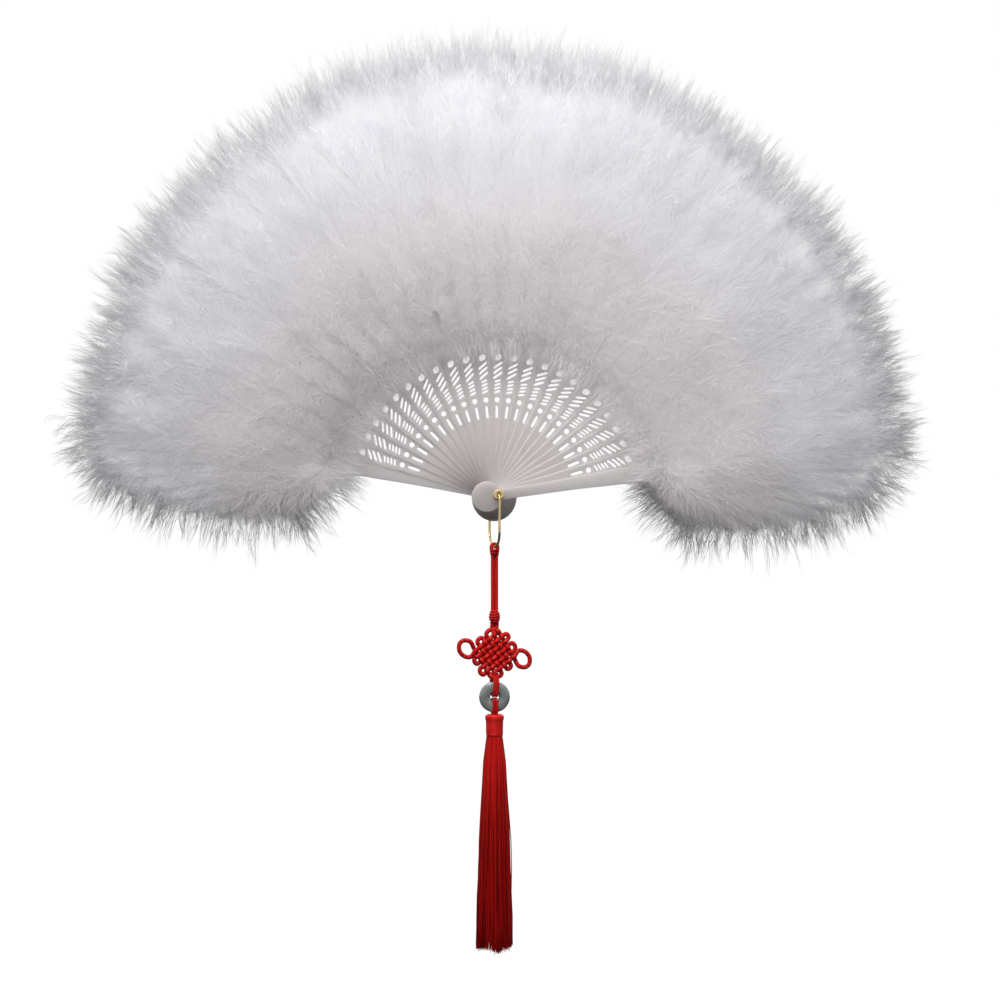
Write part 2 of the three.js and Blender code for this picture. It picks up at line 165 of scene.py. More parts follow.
# the fold: places run from 0, the rear guard at the left, to 24, the front guard at the right
fold = Spec(sticks=23, pitch=6.67, lean=1.6, stickThick=0.8, guardThick=2.0, gap=0.3)
lastPlace = fold.sticks + 1
middlePlace = lastPlace // 2
stackHalf = (fold.sticks * (fold.stickThick + fold.gap) + fold.gap) / 2 + fold.guardThick


def guardSide(place):  # -1 at the left guard, 1 at the right guard and 0 between them
    return {0: -1, lastPlace: 1}.get(place, 0)


def stickAngle(place):  # degrees from +X, evenly spaced about the leaning middle stick
    return 90 - fold.lean + (middlePlace - place) * fold.pitch


def stickThick(place):  # guards are thicker than sticks
    return fold.guardThick if guardSide(place) else fold.stickThick


def stickDepth(place):  # one layer per stick, with the guards outside
    if guardSide(place):
        return -guardSide(place) * (stackHalf - fold.guardThick / 2)
    return (middlePlace - place) * (fold.stickThick + fold.gap)


guardNames = {0: "rear_guard", lastPlace: "front_guard"}


def nodeName(place, kind):  # the CAD node of a stick or a plume
    if place in guardNames:
        return guardNames[place] + ("_plume" if kind == "plume" else "")
    return f"{kind}_{place:02d}"


def bodyName(place):  # the body that carries a place's pieces
    return guardNames[place] + "_blade" if place in guardNames else f"blade_{place:02d}"


def turned(points, place):  # turn about Y that takes a rib along +Z to its stick's angle
    turn = radians(90 - stickAngle(place))
    c, s = cos(turn), sin(turn)
    x, y, z = points[..., 0], points[..., 1], points[..., 2]
    return columns(x * c + z * s, y, z * c - x * s)


def unit(vectors):  # each vector over its own length
    return vectors / np.maximum(np.linalg.norm(vectors, axis=-1, keepdims=True), 1e-12)


def circle(count):  # even angles once round
    return np.arange(count) * 2 * pi / count


def columns(*parts):  # numbers or arrays side by side, as the last axis of one array
    return np.stack(np.broadcast_arrays(*parts), -1)


def fromRib(angle):  # direction at an angle from the rib, which stands along +Z
    return columns(sin(angle), 0, cos(angle))


# one socket of a shader, with sums, products and other nodes made from it
class Sock:
    def __init__(self, tree, socket=None):
        self.tree, self.socket = tree, socket

    def node(self, kind, inputs=None, out=0, **settings):
        made = self.tree.nodes.new("ShaderNode" + kind)
        for key, value in settings.items():
            setattr(made, key, value)
        for key, value in (inputs or {}).items():
            if isinstance(value, Sock):
                self.tree.links.new(value.socket, made.inputs[key])
            else:
                made.inputs[key].default_value = value
        return Sock(self.tree, made.outputs[out] if len(made.outputs) else None)

    def other(self, out):  # another output of the same node
        return Sock(self.tree, self.socket.node.outputs[out])

    def maths(self, operation, *values):
        return self.node("Math", dict(enumerate(values)), operation=operation)

    def __add__(self, other):
        return self.maths("ADD", self, other)

    def __sub__(self, other):
        return self.maths("SUBTRACT", self, other)

    def __mul__(self, other):
        return self.maths("MULTIPLY", self, other)

    def __rsub__(self, other):
        return self.maths("SUBTRACT", other, self)

    __radd__ = __add__
    __rmul__ = __mul__

    def sin(self):
        return self.maths("SINE", self)

    def most(self, other):  # the larger of two values
        return self.maths("MAXIMUM", self, other)

    def mixed(self, low, high):  # colour between two, by this share
        return self.node("Mix", {0: self, 6: low, 7: high}, 2, data_type="RGBA")

    def place(self):  # where a point lies on its piece
        return self.node("TexCoord", out=3)

    def noise(self, scale, detail, swirl=0.0):
        return self.node("TexNoise", {"Vector": self.place(), "Scale": scale, "Detail": detail, "Distortion": swirl})

    def bump(self, strength, height):  # relief of a fifth of a millimetre
        return self.node("Bump", {"Strength": strength, "Distance": 0.2 * mm, "Height": height})

    def eitherShader(self, share, first, second):  # two shaders mixed by a share
        return self.node("MixShader", {0: share, 1: first, 2: second})


def newTree(owner):  # an empty shader
    owner.use_nodes = True
    owner.node_tree.nodes.clear()
    return Sock(owner.node_tree)


def material(name, surface, *colours):  # material whose surface is made by a function below
    made = bpy.data.materials.new(name)
    start = newTree(made)
    start.node("OutputMaterial", {"Surface": surface(start, *colours)})
    return made


def principled(start, **inputs):  # glossy or dull shader, its inputs by short names
    names = {"colour": "Base Color", "rough": "Roughness", "metal": "Metallic", "normal": "Normal", "ior": "IOR",
             "coat": "Coat Weight", "coatRough": "Coat Roughness", "shine": "Specular IOR Level",
             "under": "Subsurface Weight", "underReach": "Subsurface Radius", "underScale": "Subsurface Scale"}
    return start.node("BsdfPrincipled", {names[k]: v for k, v in inputs.items()})


# down: half thrown back and half let through, so that light spreads inside the fluff
downSpec = Spec(rough=0.9, shine=0.1, through=0.55)


def feather(start, colour):
    front = principled(start, colour=(*colour, 1), rough=downSpec.rough, shine=downSpec.shine)
    back = start.node("BsdfTranslucent", {"Color": (*colour, 1)})
    return start.eitherShader(downSpec.through, front, back)


# milky moulded plastic: faint clouds in its colour and gloss
plasticSpec = Spec(cloud=(60.0, 4.0), grain=(900.0, 2.0), relief=0.05, pale=0.96, rough=(0.16, 0.26), ior=1.49,
    through=0.75)


def moulded(start, colour):
    s = plasticSpec
    cloud, bump = start.noise(*s.cloud), start.bump(s.relief, start.noise(*s.grain))
    tint = cloud.mixed((*[c * s.pale for c in colour], 1), (*colour, 1))
    surface = principled(start, colour=tint, rough=cloud * s.rough[0] + s.rough[1], normal=bump, ior=s.ior)
    through = start.node("BsdfTranslucent", {"Color": tint, "Normal": bump})
    return start.eitherShader(s.through, surface, through)


# drawn brass wire: tarnish clouds in colour and gloss
brassSpec = Spec(cloud=(240.0, 5.0), dark=(0.60, 0.43, 0.19, 1), light=(0.83, 0.66, 0.36, 1), rough=(0.2, 0.16))


def wire(start):
    s = brassSpec
    cloud = start.noise(*s.cloud)
    tint = cloud.mixed(s.dark, s.light)
    return principled(start, colour=tint, rough=cloud * s.rough[0] + s.rough[1], metal=1.0)


# braided satin cord: the higher of two crossing sets of slanted strands on the piece's own map gives the relief, and
# painted shade darkens the colour where the strands dip
braidSpec = Spec(across=4, along=1.1, relief=0.55, share=(0.4, 0.55), rough=0.5, shine=0.25,
    dark=(0.42, 0.003, 0.003, 1), light=(0.74, 0.012, 0.009, 1))


def braid(start):
    s = braidSpec
    split = start.node("SeparateXYZ", {0: start.node("UVMap", uv_map="UVMap")})
    u, v = split * (2 * pi * s.across), split.other(1) * (2 * pi * s.along)
    height = (u + v).sin().most((u - v).sin())
    # painted shade: darker where the strands dip, lighter on their crests
    tint = (height * s.share[0] + s.share[1]).mixed(s.dark, s.light)
    return principled(start, colour=tint, rough=s.rough, normal=start.bump(s.relief, height), shine=s.shine)


# smooth yarn; with a second colour, painted light makes the top of the tassel brighter, as if lit from above
yarnSpec = Spec(rough=0.45, shine=0.22, fade=(-0.212, -0.156))


def yarn(start, colour, litTop=None):
    tint = (*colour, 1)
    if litTop:
        height = start.node("SeparateXYZ", {0: start.place()}, 2)
        share = start.node("MapRange", {0: height, 1: yarnSpec.fade[0], 2: yarnSpec.fade[1]})
        tint = share.mixed(tint, (*litTop, 1))
    return principled(start, colour=tint, rough=yarnSpec.rough, shine=yarnSpec.shine)


# polished grey-green stone: cloudy veins under a glossy skin
stoneSpec = Spec(cloud=(110.0, 6.0, 1.2), dark=(0.17, 0.21, 0.20, 1), light=(0.39, 0.42, 0.405, 1), rough=0.12, ior=1.6,
    under=0.5, underReach=(0.9, 1.0, 0.95), underScale=0.002, coat=0.3, coatRough=0.08)


def polished(start):
    s = stoneSpec
    tint = start.noise(*s.cloud).mixed(s.dark, s.light)
    return principled(start, colour=tint, rough=s.rough, ior=s.ior, under=s.under, underReach=s.underReach,
                      underScale=s.underScale, coat=s.coat, coatRough=s.coatRough)


# mesh from whole arrays: points, then arrays of faces with three or four corners each
def meshFrom(name, points, faces, smooth=True, uv=None, slots=None):
    mesh = bpy.data.meshes.new(name)
    corners = np.concatenate([f.ravel() for f in faces]).astype(np.int32)
    sizes = np.concatenate([np.full(len(f), f.shape[1]) for f in faces])
    starts = np.concatenate([[0], np.cumsum(sizes)[:-1]]).astype(np.int32)
    mesh.vertices.add(len(points))
    mesh.vertices.foreach_set("co", np.ascontiguousarray(points, np.float32).ravel())
    mesh.loops.add(len(corners))
    mesh.polygons.add(len(starts))
    mesh.polygons.foreach_set("loop_start", starts)
    mesh.loops.foreach_set("vertex_index", corners)
    if slots is not None:
        mesh.polygons.foreach_set("material_index", slots.astype(np.int32))
    if smooth:
        mesh.polygons.foreach_set("use_smooth", np.ones(len(starts), bool))
    mesh.update(calc_edges=True)
    if uv is not None:
        layer = mesh.uv_layers.new(name="UVMap")
        layer.data.foreach_set("uv", np.ascontiguousarray(uv[corners], np.float32).ravel())
    return mesh


def linked(name, data):  # new object in the scene
    made = bpy.data.objects.new(name, data)
    scene.collection.objects.link(made)
    return made


def addPiece(mesh, materials, body, nodes, slot):  # piece that rides on a body in place of its CAD nodes
    piece = linked(mesh.name, mesh)
    for each in materials:
        mesh.materials.append(each)
    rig.ride(piece, body)
    if nodes:
        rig.replaces(piece, *nodes)
    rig.slot(piece, slot)
    return piece


def shapePiece(name, shape, look, body, nodes, slot):  # piece of one material from points, faces and map
    points, faces, uv = shape
    return addPiece(meshFrom(name, points, faces, uv=uv), [look], body, nodes, slot)


# faces of a grid, closed round the points across each row and, if asked, from the last row to the first
def gridFaces(rows, across, wrapRows=False):
    a = np.arange(rows if wrapRows else rows - 1)[:, None] * across
    b = (a + across) % (rows * across)
    j = np.arange(across)[None, :]
    k = (j + 1) % across
    return columns(a + j, a + k, b + k, b + j).reshape(-1, 4)


# round tube along a path: each ring lies across the path, steered by a reference direction
def tube(path, radius, sides, reference, closed=False):
    along = np.roll(path, -1, 0) - np.roll(path, 1, 0) if closed else np.gradient(path, axis=0)
    ahead = unit(along)
    side = unit(np.cross(ahead, np.asarray(reference, float)))
    up = np.cross(side, ahead)
    turn = circle(sides)
    size = np.broadcast_to(np.asarray(radius, float), len(path))[:, None, None]
    across, over = cos(turn)[None, :, None] * side[:, None], sin(turn)[None, :, None] * up[:, None]
    points = (path[:, None] + size * (across + over)).reshape(-1, 3)
    run = np.concatenate([[0], np.cumsum(np.linalg.norm(np.diff(path, axis=0), axis=1))]) / (2 * np.max(radius))
    uv = columns(turn / (2 * pi), run[:, None]).reshape(-1, 2)
    faces = [gridFaces(len(path), sides, closed)]
    if not closed:
        count = len(points)
        ring = np.arange(sides)
        points = np.concatenate([points, path[[0, -1]]])
        uv = np.concatenate([uv, uv[[0, -1]]])
        first = columns(count, (ring + 1) % sides, ring)
        last = columns(count + 1, count - sides + ring, count - sides + (ring + 1) % sides)
        faces.append(np.concatenate([first, last]))
    return points, faces, uv


# several point sets with their faces as one
def joined(parts):
    points, faces, uv, shift = [], [], [], 0
    for p, f, m in parts:
        points.append(p)
        faces += [each + shift for each in f]
        uv.append(m)
        shift += len(p)
    return np.concatenate(points), faces, np.concatenate(uv)


# smooth path through points: the cubic whose slope at each point joins its neighbours
def smoothPath(points, steps, closed=False):
    p = np.asarray(points, float)
    if closed:
        before, here, after, later = np.roll(p, 1, 0), p, np.roll(p, -1, 0), np.roll(p, -2, 0)
    else:
        padded = np.concatenate([[2 * p[0] - p[1]], p, [2 * p[-1] - p[-2]]])
        before, here, after, later = padded[:-3], padded[1:-2], padded[2:-1], padded[3:]
    t = (np.arange(steps) / steps)[None, :, None]
    before, here, after, later = (v[:, None] for v in (before, here, after, later))
    curve = 0.5 * (2 * here + (after - before) * t + (2 * before - 5 * here + 4 * after - later) * t ** 2
                   + (3 * here - before - 3 * after + later) * t ** 3)
    curve = curve.reshape(-1, 3)
    return curve if closed else np.concatenate([curve, p[-1:]])


def roundHole(y, halfWide, halfTall, steps, square=2.0, slope=0.0):  # ellipse, squarer for a higher power, sheared
    turn = circle(steps)
    x = halfWide * np.sign(cos(turn)) * np.abs(cos(turn)) ** (2 / square)
    z = halfTall * np.sign(sin(turn)) * np.abs(sin(turn)) ** (2 / square)
    return columns(x, y + z + slope * x)


# turned shape about an axis: (radius, distance) pairs spun round, closed at both ends on the axis or on itself
def spun(profile, segments, axis, centre, wrapProfile=False):
    r, h = np.asarray(profile, float).T
    turn = circle(segments)
    a, b, main = {"y": ((0, 0, 1), (1, 0, 0), (0, 1, 0)), "z": ((1, 0, 0), (0, 1, 0), (0, 0, 1))}[axis]
    ring = cos(turn)[:, None] * np.array(a) + sin(turn)[:, None] * np.array(b)
    points = r[:, None, None] * ring[None] + h[:, None, None] * np.array(main)[None, None] + np.asarray(centre)
    uv = columns(turn / (2 * pi), np.linspace(0, 1, len(r))[:, None])
    return points.reshape(-1, 3), [gridFaces(len(r), segments, wrapProfile)], uv.reshape(-1, 2)


# camera at the photograph's angle: the fan turned a little to its own right, seen level
view = Spec(azimuth=-9.8, elevation=1.0, lens=85.0, sensor=36.0, width=0.600, aimRight=0.0033, aimDown=0.0033)
azimuth, elevation = radians(view.azimuth), radians(view.elevation)
level = np.array([sin(azimuth), -cos(azimuth), 0]) * cos(elevation)
backward = level + [0, 0, sin(elevation)]
rightward = np.array([cos(azimuth), sin(azimuth), 0])
upward = np.cross(backward, rightward)
aim = rightward * view.aimRight - upward * view.aimDown
cameraData = bpy.data.cameras.new("camera")
cameraData.lens, cameraData.sensor_width = view.lens, view.sensor
camera = linked("camera", cameraData)
camera.location = aim + backward * (view.width * view.lens / view.sensor)
camera.rotation_euler = (pi / 2 - elevation, 0, azimuth)
scene.camera = camera
scene.view_settings.view_transform = "Standard"
print("camera set")

# studio: white to the camera, a broad lamp above and in front, an even fill and some light from behind
light = Spec(above=0.20, below=0.02, behind=0.16, key=3.4, spread=120.0, size=0.6, start=(-0.11, -0.38, 0.60),
    to=(-0.02, 0, 0.24))
white = (1, 1, 1, 1)
scene.world = bpy.data.worlds.new("studio")
sky = newTree(scene.world)
path = sky.node("LightPath")
straight = path.other("Is Camera Ray").most(path.other("Is Glossy Ray")).most(path.other("Is Transmission Ray"))
heading = sky.node("SeparateXYZ", {0: sky.node("TexCoord")}, 2)
slope = (light.above - light.below) / 2
fill = heading * slope + heading.other(1).most(0.0) * light.behind + (light.below + slope)
plainSky = sky.node("Background", {"Color": white, "Strength": fill})
whiteSky = sky.node("Background", {"Color": white, "Strength": 1.0})
sky.node("OutputWorld", {"Surface": sky.eitherShader(straight, plainSky, whiteSky)})

lampData = bpy.data.lights.new("key lamp", "AREA")
lampData.shape, lampData.size, lampData.energy = "DISK", light.size, light.key
lampData.spread = radians(light.spread)
lamp = linked("key lamp", lampData)
lamp.location = light.start
away = np.array(light.start, float) - light.to
lamp.rotation_euler = (np.arccos(away[2] / np.linalg.norm(away)), 0, np.arctan2(away[0], -away[1]))

# floor: mostly a glow to the camera, and dull to other rays
floorSpec = Spec(at=-0.335, reach=4.0, grey=(0.16, 0.16, 0.16, 1), glow=1.27, share=0.8)


def glowing(start):
    lit = start.node("BsdfDiffuse", {"Color": floorSpec.grey})
    glow = start.node("Emission", {"Color": white, "Strength": floorSpec.glow})
    return start.eitherShader(start.node("LightPath") * floorSpec.share, lit, glow)


corners = np.array([[-1, -1, 0], [1, -1, 0], [1, 1, 0], [-1, 1, 0]]) * floorSpec.reach + [0, 0, floorSpec.at]
floor = linked("floor", meshFrom("floor", corners, [np.array([[0, 1, 2, 3]])], False))
floor.data.materials.append(material("floor", glowing))
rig.stage(floor)
print("studio set")

# materials
whiteDown = material("white down", feather, (0.960, 0.957, 0.974))
warmDown = material("warm down", feather, (0.966, 0.948, 0.950))
shaft = material("quill shaft", feather, (0.86, 0.84, 0.80))
# grey down is painted shade: a shaded copy of the white down, for the rim and for scattered shaded barbs
shadeGreyDown = material("grey down", feather, (0.77, 0.765, 0.78))
plastic = material("milky plastic", moulded, (0.88, 0.855, 0.855))
brass = material("brass wire", wire)
redCord = material("red cord", braid)
# each yarn's second colour is painted light, given to the top of the tassel
silkDark = material("dark red yarn", yarn, (0.29, 0.002, 0.002), (0.50, 0.006, 0.005))
silkLight = material("red yarn", yarn, (0.58, 0.006, 0.005), (0.86, 0.016, 0.012))
stone = material("grey-green stone", polished)
satin = material("white ribbon", yarn, (0.85, 0.84, 0.84))

# pendant cord: up from the bead knot, over the bail and down again, with two turns of thread under the bail
cordSpec = Spec(radius=1.12, spread=1.13, bail=31.7, wire=0.75, gap=0.08, bottom=70.7, under=1.5, parts=0.86, rows=30,
    bow=18, past=0.55, lift=0.3, steps=3, collars=((33.6, 2.1, 1.75), (35.1, 2.0, 1.7)), thread=0.8, slope=0.25,
    core=0.42, coreBack=0.3, coreTop=36.0)


# two straight strands that part at the top, joined by a bow over the bail's wire
def buildHangingCord():
    s = cordSpec
    over = s.wire + s.gap + s.radius
    rise = np.linspace(0, 1, s.rows)
    height = -s.bottom + rise * (s.bottom - s.bail - s.under)
    apart = np.clip((rise - s.parts) / (1 - s.parts), 0, 1) ** 2
    strand = columns(s.spread + (over - s.spread) * apart, 0, height)
    bow = np.linspace(-s.past, pi + s.past, s.bow)
    top = columns(over * cos(bow), 0 * bow, over * sin(bow) - s.bail)
    top = top[top[:, 2] > strand[-1, 2] + s.lift]
    line = smoothPath(np.concatenate([strand, top, strand[::-1] * [-1, -1, 1]]) * mm, s.steps)
    shape = tube(line, s.radius * mm, 12, (0.02, 1, 0.01))
    piece = shapePiece("pendant_cord", shape, redCord, "pendant", ["hanging_cord"], "red_cord")
    turn = circle(40)
    parts = []
    for at, wide, deep in s.collars:
        ring = columns(wide * cos(turn), deep * sin(turn), -at - s.slope * cos(turn)) * mm
        parts.append(tube(ring, s.thread * mm, 10, (0, 0, 1), True))
    rows = np.linspace(-s.bottom, -s.coreTop, 12)
    core = columns(0, s.coreBack, rows) * mm
    parts.append(tube(core, s.core * mm, 8, (1, 0, 0)))
    collar = shapePiece("cord_collar", joined(parts), redCord, "pendant", [], "red_cord")
    length = float(np.linalg.norm(np.diff(line, axis=0), axis=1).sum())
    return piece, collar, line, length


cordPiece, collarPiece, cordLine, cordLength = buildHangingCord()
print("pendant cord made", round(cordLength, 4))

# mystic knot: six strands each way woven over and under, small loops on its sides, ears at its corners
# open: how far each side loop is pulled, for its way, its strand and its two ends
knotSpec = Spec(at=95.7, strands=6, pitch=3.5, radius=1.38, rise=1.12, reach=11.1, tilt=-11.0, wide=0.95, tall=1.1,
    loopLong=(1.2, 0.9), loopWide=(0.85, 0.65),
    open={(False, 1): (0.75, 0.6), (False, 3): (0.15, 0.35), (True, 1): (0.5, 0.1), (True, 3): (0.8, 0.15)},
    earReach=22.1, earRadius=5.0, earTurns=(118, 70, 25, -25, -70, -118),
    neck=((1.2, 0, -76.3), (1.3, 0.1, -78.6), (1.1, 0.0, -80.4)), tail=((0.9, -0.2, -110.4), (0.5, 1.6, -111.6)),
    layer=((0.0, -0.5), (8.2, -0.5), (8.7, 0.0), (8.2, 0.5), (0.0, 0.5)))
ringSpec = Spec(outer=9.3, inner=2.7, thick=4.4, at=121.6, square=3.2)
# cord round the ring's rim: points at its ends, then across, depth and height over the hole along the rim
hangerSpec = Spec(radius=1.0, gap=0.2, slack=0.8, aside=0.85, ends=((0.5, -1.4, -108.6),),
    rim=((0.6, -0.8, 9.1), (0.5, -1, 6.3), (0.1, -1, 1.1), (0, -0.74, 0.12)))
loopSpec = Spec(radius=0.88, gap=0.2, slack=0.5, aside=0.88, ends=((0, -1.2, -134.2), (0, -1.3, -133.2)),
    rim=((0, -0.78, 8.28), (0, -1, 5.88), (0, -1, 1.1), (0, -0.74, 0.12)))
beadSpec = Spec(at=73.5, turns=5, rows=150, radius=2.75, round=0.86, ripple=0.02, ripples=3, half=3.7, thread=0.78,
    eggWide=2.5, eggTall=3.9)


# strand k with its weave height over each crossing j: up on even sums, down on odd
def strandPoints(k, flip):
    each = np.arange(knotSpec.strands)
    offsets = (each - each.mean()) * knotSpec.pitch
    height = knotSpec.rise * np.where((each + k) % 2 == 0, -1.0, 1.0) * flip
    return columns(offsets, offsets[k], height)


# (along u, along v, depth) of the knot's own diagonals to the shared frame
def knotPlace(points, swap):
    along, across, depth = points.T
    u, v = (across, along) if swap else (along, across)
    x, z = knotSpec.wide * (u - v) / np.sqrt(2), knotSpec.tall * (u + v) / np.sqrt(2)
    tilt = radians(knotSpec.tilt)
    c, s = cos(tilt), sin(tilt)
    return columns(x * c - z * s, depth, x * s + z * c - knotSpec.at)


# the inner strands, in closed pairs that bow out past the weave
def knotPairs():
    s = knotSpec
    bow = np.linspace(-pi / 2, pi / 2, 5)
    for swap, flip in ((False, 1), (True, -1)):
        for k in (1, 3):
            there, back = strandPoints(k, flip), strandPoints(k + 1, flip)[::-1]
            middle = (there[0, 1] + back[0, 1]) / 2
            ends = []
            for pull in s.open[swap, k]:
                long = s.loopLong[0] + s.loopLong[1] * pull
                wide = (s.loopWide[0] + s.loopWide[1] * pull) * s.pitch / 2
                ends.append(columns(s.reach + long * cos(bow), middle + wide * sin(bow), 0))
            ring = np.concatenate([there, ends[0], back, ends[1][::-1] * [-1, 1, 1]])
            yield tube(knotPlace(smoothPath(ring, 5, True), swap) * mm, s.radius * mm, 10, (0, 1, 0), True)


# the outer strands: from the bead by the top corner, an ear and the bottom corner to the ring, on each side
def knotSides():
    s = knotSpec
    tilt, bow = radians(s.tilt), radians(s.earTurns)[:, None]
    for side in (-1, 1):
        first = knotPlace(strandPoints(s.strands - 1, -side), side > 0)[::-1]
        second = knotPlace(strandPoints(0, side), side < 0)[::-1]
        out, over = np.array([side * cos(tilt), 0, side * sin(tilt)]), np.array([0, 0, 1.0])
        centre = np.array([0, 0, -s.at]) + out * (s.earReach - s.earRadius)
        ear = centre + s.earRadius * (cos(bow) * out + sin(bow) * over)
        neck, tail = np.array(s.neck) * [side, 1, 1], np.array(s.tail) * [side, side, 1]
        line = smoothPath(np.concatenate([neck, first, ear, second, tail]), 6) * mm
        yield tube(line, s.radius * mm, 10, (0.01, 1, 0.02))


# doubled cord round the rim of the ring, above or below its hole: in front of it, through the hole and back behind it
def doubledLoop(s, way):
    deep = ringSpec.thick / 2 + s.gap + s.radius
    turn = -ringSpec.at + way * (ringSpec.inner - s.slack - s.radius)
    rim = np.array([(x, y * deep, turn + way * z) for x, y, z in s.rim])
    side = np.concatenate([s.ends, rim])
    line = np.concatenate([side, [[0, 0, turn]], side[::-1] * [-1, -1, 1]])
    for aside in (-s.aside, s.aside):
        yield tube(smoothPath(line + [aside, 0, 0], 6) * mm, s.radius * mm, 10, (1, 0, 0))


# the bead knot: a cord wound over a small egg
def beadKnot():
    s = beadSpec
    turn, share = np.linspace(0, s.turns * 2 * pi, s.rows), np.linspace(-1, 1, s.rows)
    radius = s.radius * np.sqrt(np.clip(1 - (share * s.round) ** 2, 0, 1)) * (1 + s.ripple * sin(s.ripples * turn))
    coil = columns(radius * cos(turn), radius * sin(turn), share * s.half - s.at) * mm
    yield tube(coil, s.thread * mm, 10, (0, 0.05, 1))
    polar = np.linspace(-pi / 2, pi / 2, 13)
    egg = columns(s.eggWide * cos(polar) * mm, s.eggTall * sin(polar) * mm)
    yield spun(egg, 20, "z", (0, 0, -s.at * mm))


def buildKnot():  # all strands of the knot as one piece
    layer = spun(np.array(knotSpec.layer) * mm, 28, "y", (0, 0, -knotSpec.at * mm))  # the cord inside the weave
    shape = joined([*knotPairs(), *knotSides(), *doubledLoop(hangerSpec, 1), *beadKnot(), layer])
    return shapePiece("tied_knot", shape, redCord, "pendant", ["mystic_knot"], "red_cord")


knotPiece = buildKnot()
print("knot tied")


# stone ring: a squared oval spun about its hole, and the doubled cord to the tassel
def buildRing():
    r = ringSpec
    middle, half = (r.outer + r.inner) / 2, (r.outer - r.inner) / 2
    profile = (roundHole(0, half, r.thick / 2, 40, r.square) + [middle, 0]) * mm
    shape = spun(profile, 96, "y", (0, 0, -r.at * mm), True)
    shapePiece("jade_ring", shape, stone, "ring", ["stone_ring"], "green_stone")
    shapePiece("ring_to_tassel_cord", joined(doubledLoop(loopSpec, -1)), redCord, "ring", ["tassel_loop"], "red_cord")


buildRing()

# tassel: a head bound with thread, and loose yarn below it that gathers in locks
tasselSpec = Spec(head=((0.0, 132.1), (4.3, 132.1), (5.0, 132.5), (5.3, 133.3), (5.3, 134.8), (4.9, 135.8),
    (4.75, 144.6), (0.0, 144.7)), turns=22, bound=(132.9, 144.4), thread=0.31, proud=0.12, neck=144.6, tuck=0.6,
    bottom=273.3, yarns=900, seed=5, rows=9, spreadAt=(0, 0.04, 0.17, 0.3, 0.49, 0.94, 1),
    spread=(4.5, 5.9, 7.0, 7.8, 9.2, 10.8, 11.1), core=0.25, locks=14, gather=0.22, stray=0.10, wave=(0.05, 0.5),
    loose=1.1, looseShare=0.08, waves=(6, 14), long=(0.995, 0.007), ragged=0.010, notches=3, phase=6.28,
    thickAt=(0, 0.1, 0.95, 1), thick=(0.30, 0.36, 0.35, 0.14))


# three-sided strands along many lines at once
def prisms(lines, thick, twist):
    count, steps = lines.shape[:2]
    ahead = unit(np.gradient(lines, axis=1))
    side = unit(np.cross(ahead, np.array([0.3, 1, 0.1])))
    up = np.cross(side, ahead)
    turn = twist[:, None] + circle(3)[None]
    ring = cos(turn)[:, None, :, None] * side[:, :, None] + sin(turn)[:, None, :, None] * up[:, :, None]
    points = lines[:, :, None] + thick[None, :, None, None] * ring
    one = gridFaces(steps, 3)
    faces = one[None] + (np.arange(count) * steps * 3)[:, None, None]
    return points.reshape(-1, 3), faces.reshape(-1, 4)


# the head's profile spun about its axis, with thread wound on it at the profile's radius
def buildHead():
    s = tasselSpec
    profile = np.array(s.head)
    head = spun(columns(profile[::-1, 0], -profile[::-1, 1]) * mm, 32, "z", (0, 0, 0))
    turn = np.linspace(0, s.turns * 2 * pi, s.turns * 26)
    height = np.linspace(*s.bound, len(turn))
    radius = np.interp(height, profile[1:7, 1], profile[1:7, 0]) + s.proud
    thread = columns(radius * cos(turn), radius * sin(turn), -height) * mm
    shape = joined([head, tube(thread, s.thread * mm, 6, (0, 0.05, 1))])
    shapePiece("bound_tassel_head", shape, silkLight, "tassel", ["tassel_cap"], "red_silk")


# each yarn: its share of the spread, drawn to its lock and waving a little on the way down
def buildYarn():
    s = tasselSpec
    dice = np.random.default_rng(s.seed)
    count = s.yarns
    share = np.linspace(0, 1, s.rows)
    spread = np.interp(share, s.spreadAt, s.spread)
    inside = np.sqrt(dice.uniform(s.core, 1, count))[:, None]
    turn = dice.uniform(0, 2 * pi, count)[:, None]
    lock = np.round(turn * s.locks / (2 * pi)) * 2 * pi / s.locks
    drift = turn + (lock - turn) * s.gather * share + dice.normal(0, s.stray, count)[:, None] * share
    swing = dice.uniform(*s.wave, count) + s.loose * (dice.random(count) < s.looseShare)
    phase = share * dice.uniform(*s.waves, count)[:, None] + dice.uniform(0, s.phase, count)[:, None]
    long = dice.normal(*s.long, count)[:, None] + s.ragged * sin(s.notches * turn)
    radius = spread * inside + swing[:, None] * sin(phase) * share
    height = -s.neck + s.tuck - share * (s.bottom - s.neck) * long
    lines = columns(radius * cos(drift), radius * sin(drift), height)
    thick = np.interp(share, s.thickAt, s.thick)
    points, faces = prisms(lines * mm, thick * mm, dice.uniform(0, s.phase, count))
    slots = np.repeat(dice.integers(0, 2, count), len(faces) // count)
    mesh = meshFrom("tassel_yarn", points, [faces], slots=slots)
    addPiece(mesh, [silkDark, silkLight], "tassel", ["tassel_skirt"], "red_silk")


buildHead()
buildYarn()
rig.cord(cordPiece, cordLine[0], cordLength, 2 * cordSpec.radius * mm, "knot", "limp", "hanging",
        path=cordLine, with_pieces=[collarPiece, knotPiece])
print("tassel hung")

# rivet, washer and bail in brass
metalSpec = Spec(rivet=1.6, flange=3.4, flangeThick=0.8, lip=2.6, lipThick=0.5, bore=1.1, boreDepth=7.0, washer=3.6,
    washerThick=0.6, washerPlay=0.35, gap=0.3, soft=0.12, washerSoft=0.1, wire=0.75, bailHalf=17.7, bailDrop=31.7,
    bailBow=10.0, bailBend=2.0, bailEnd=2.0, bailKnee=0.6)


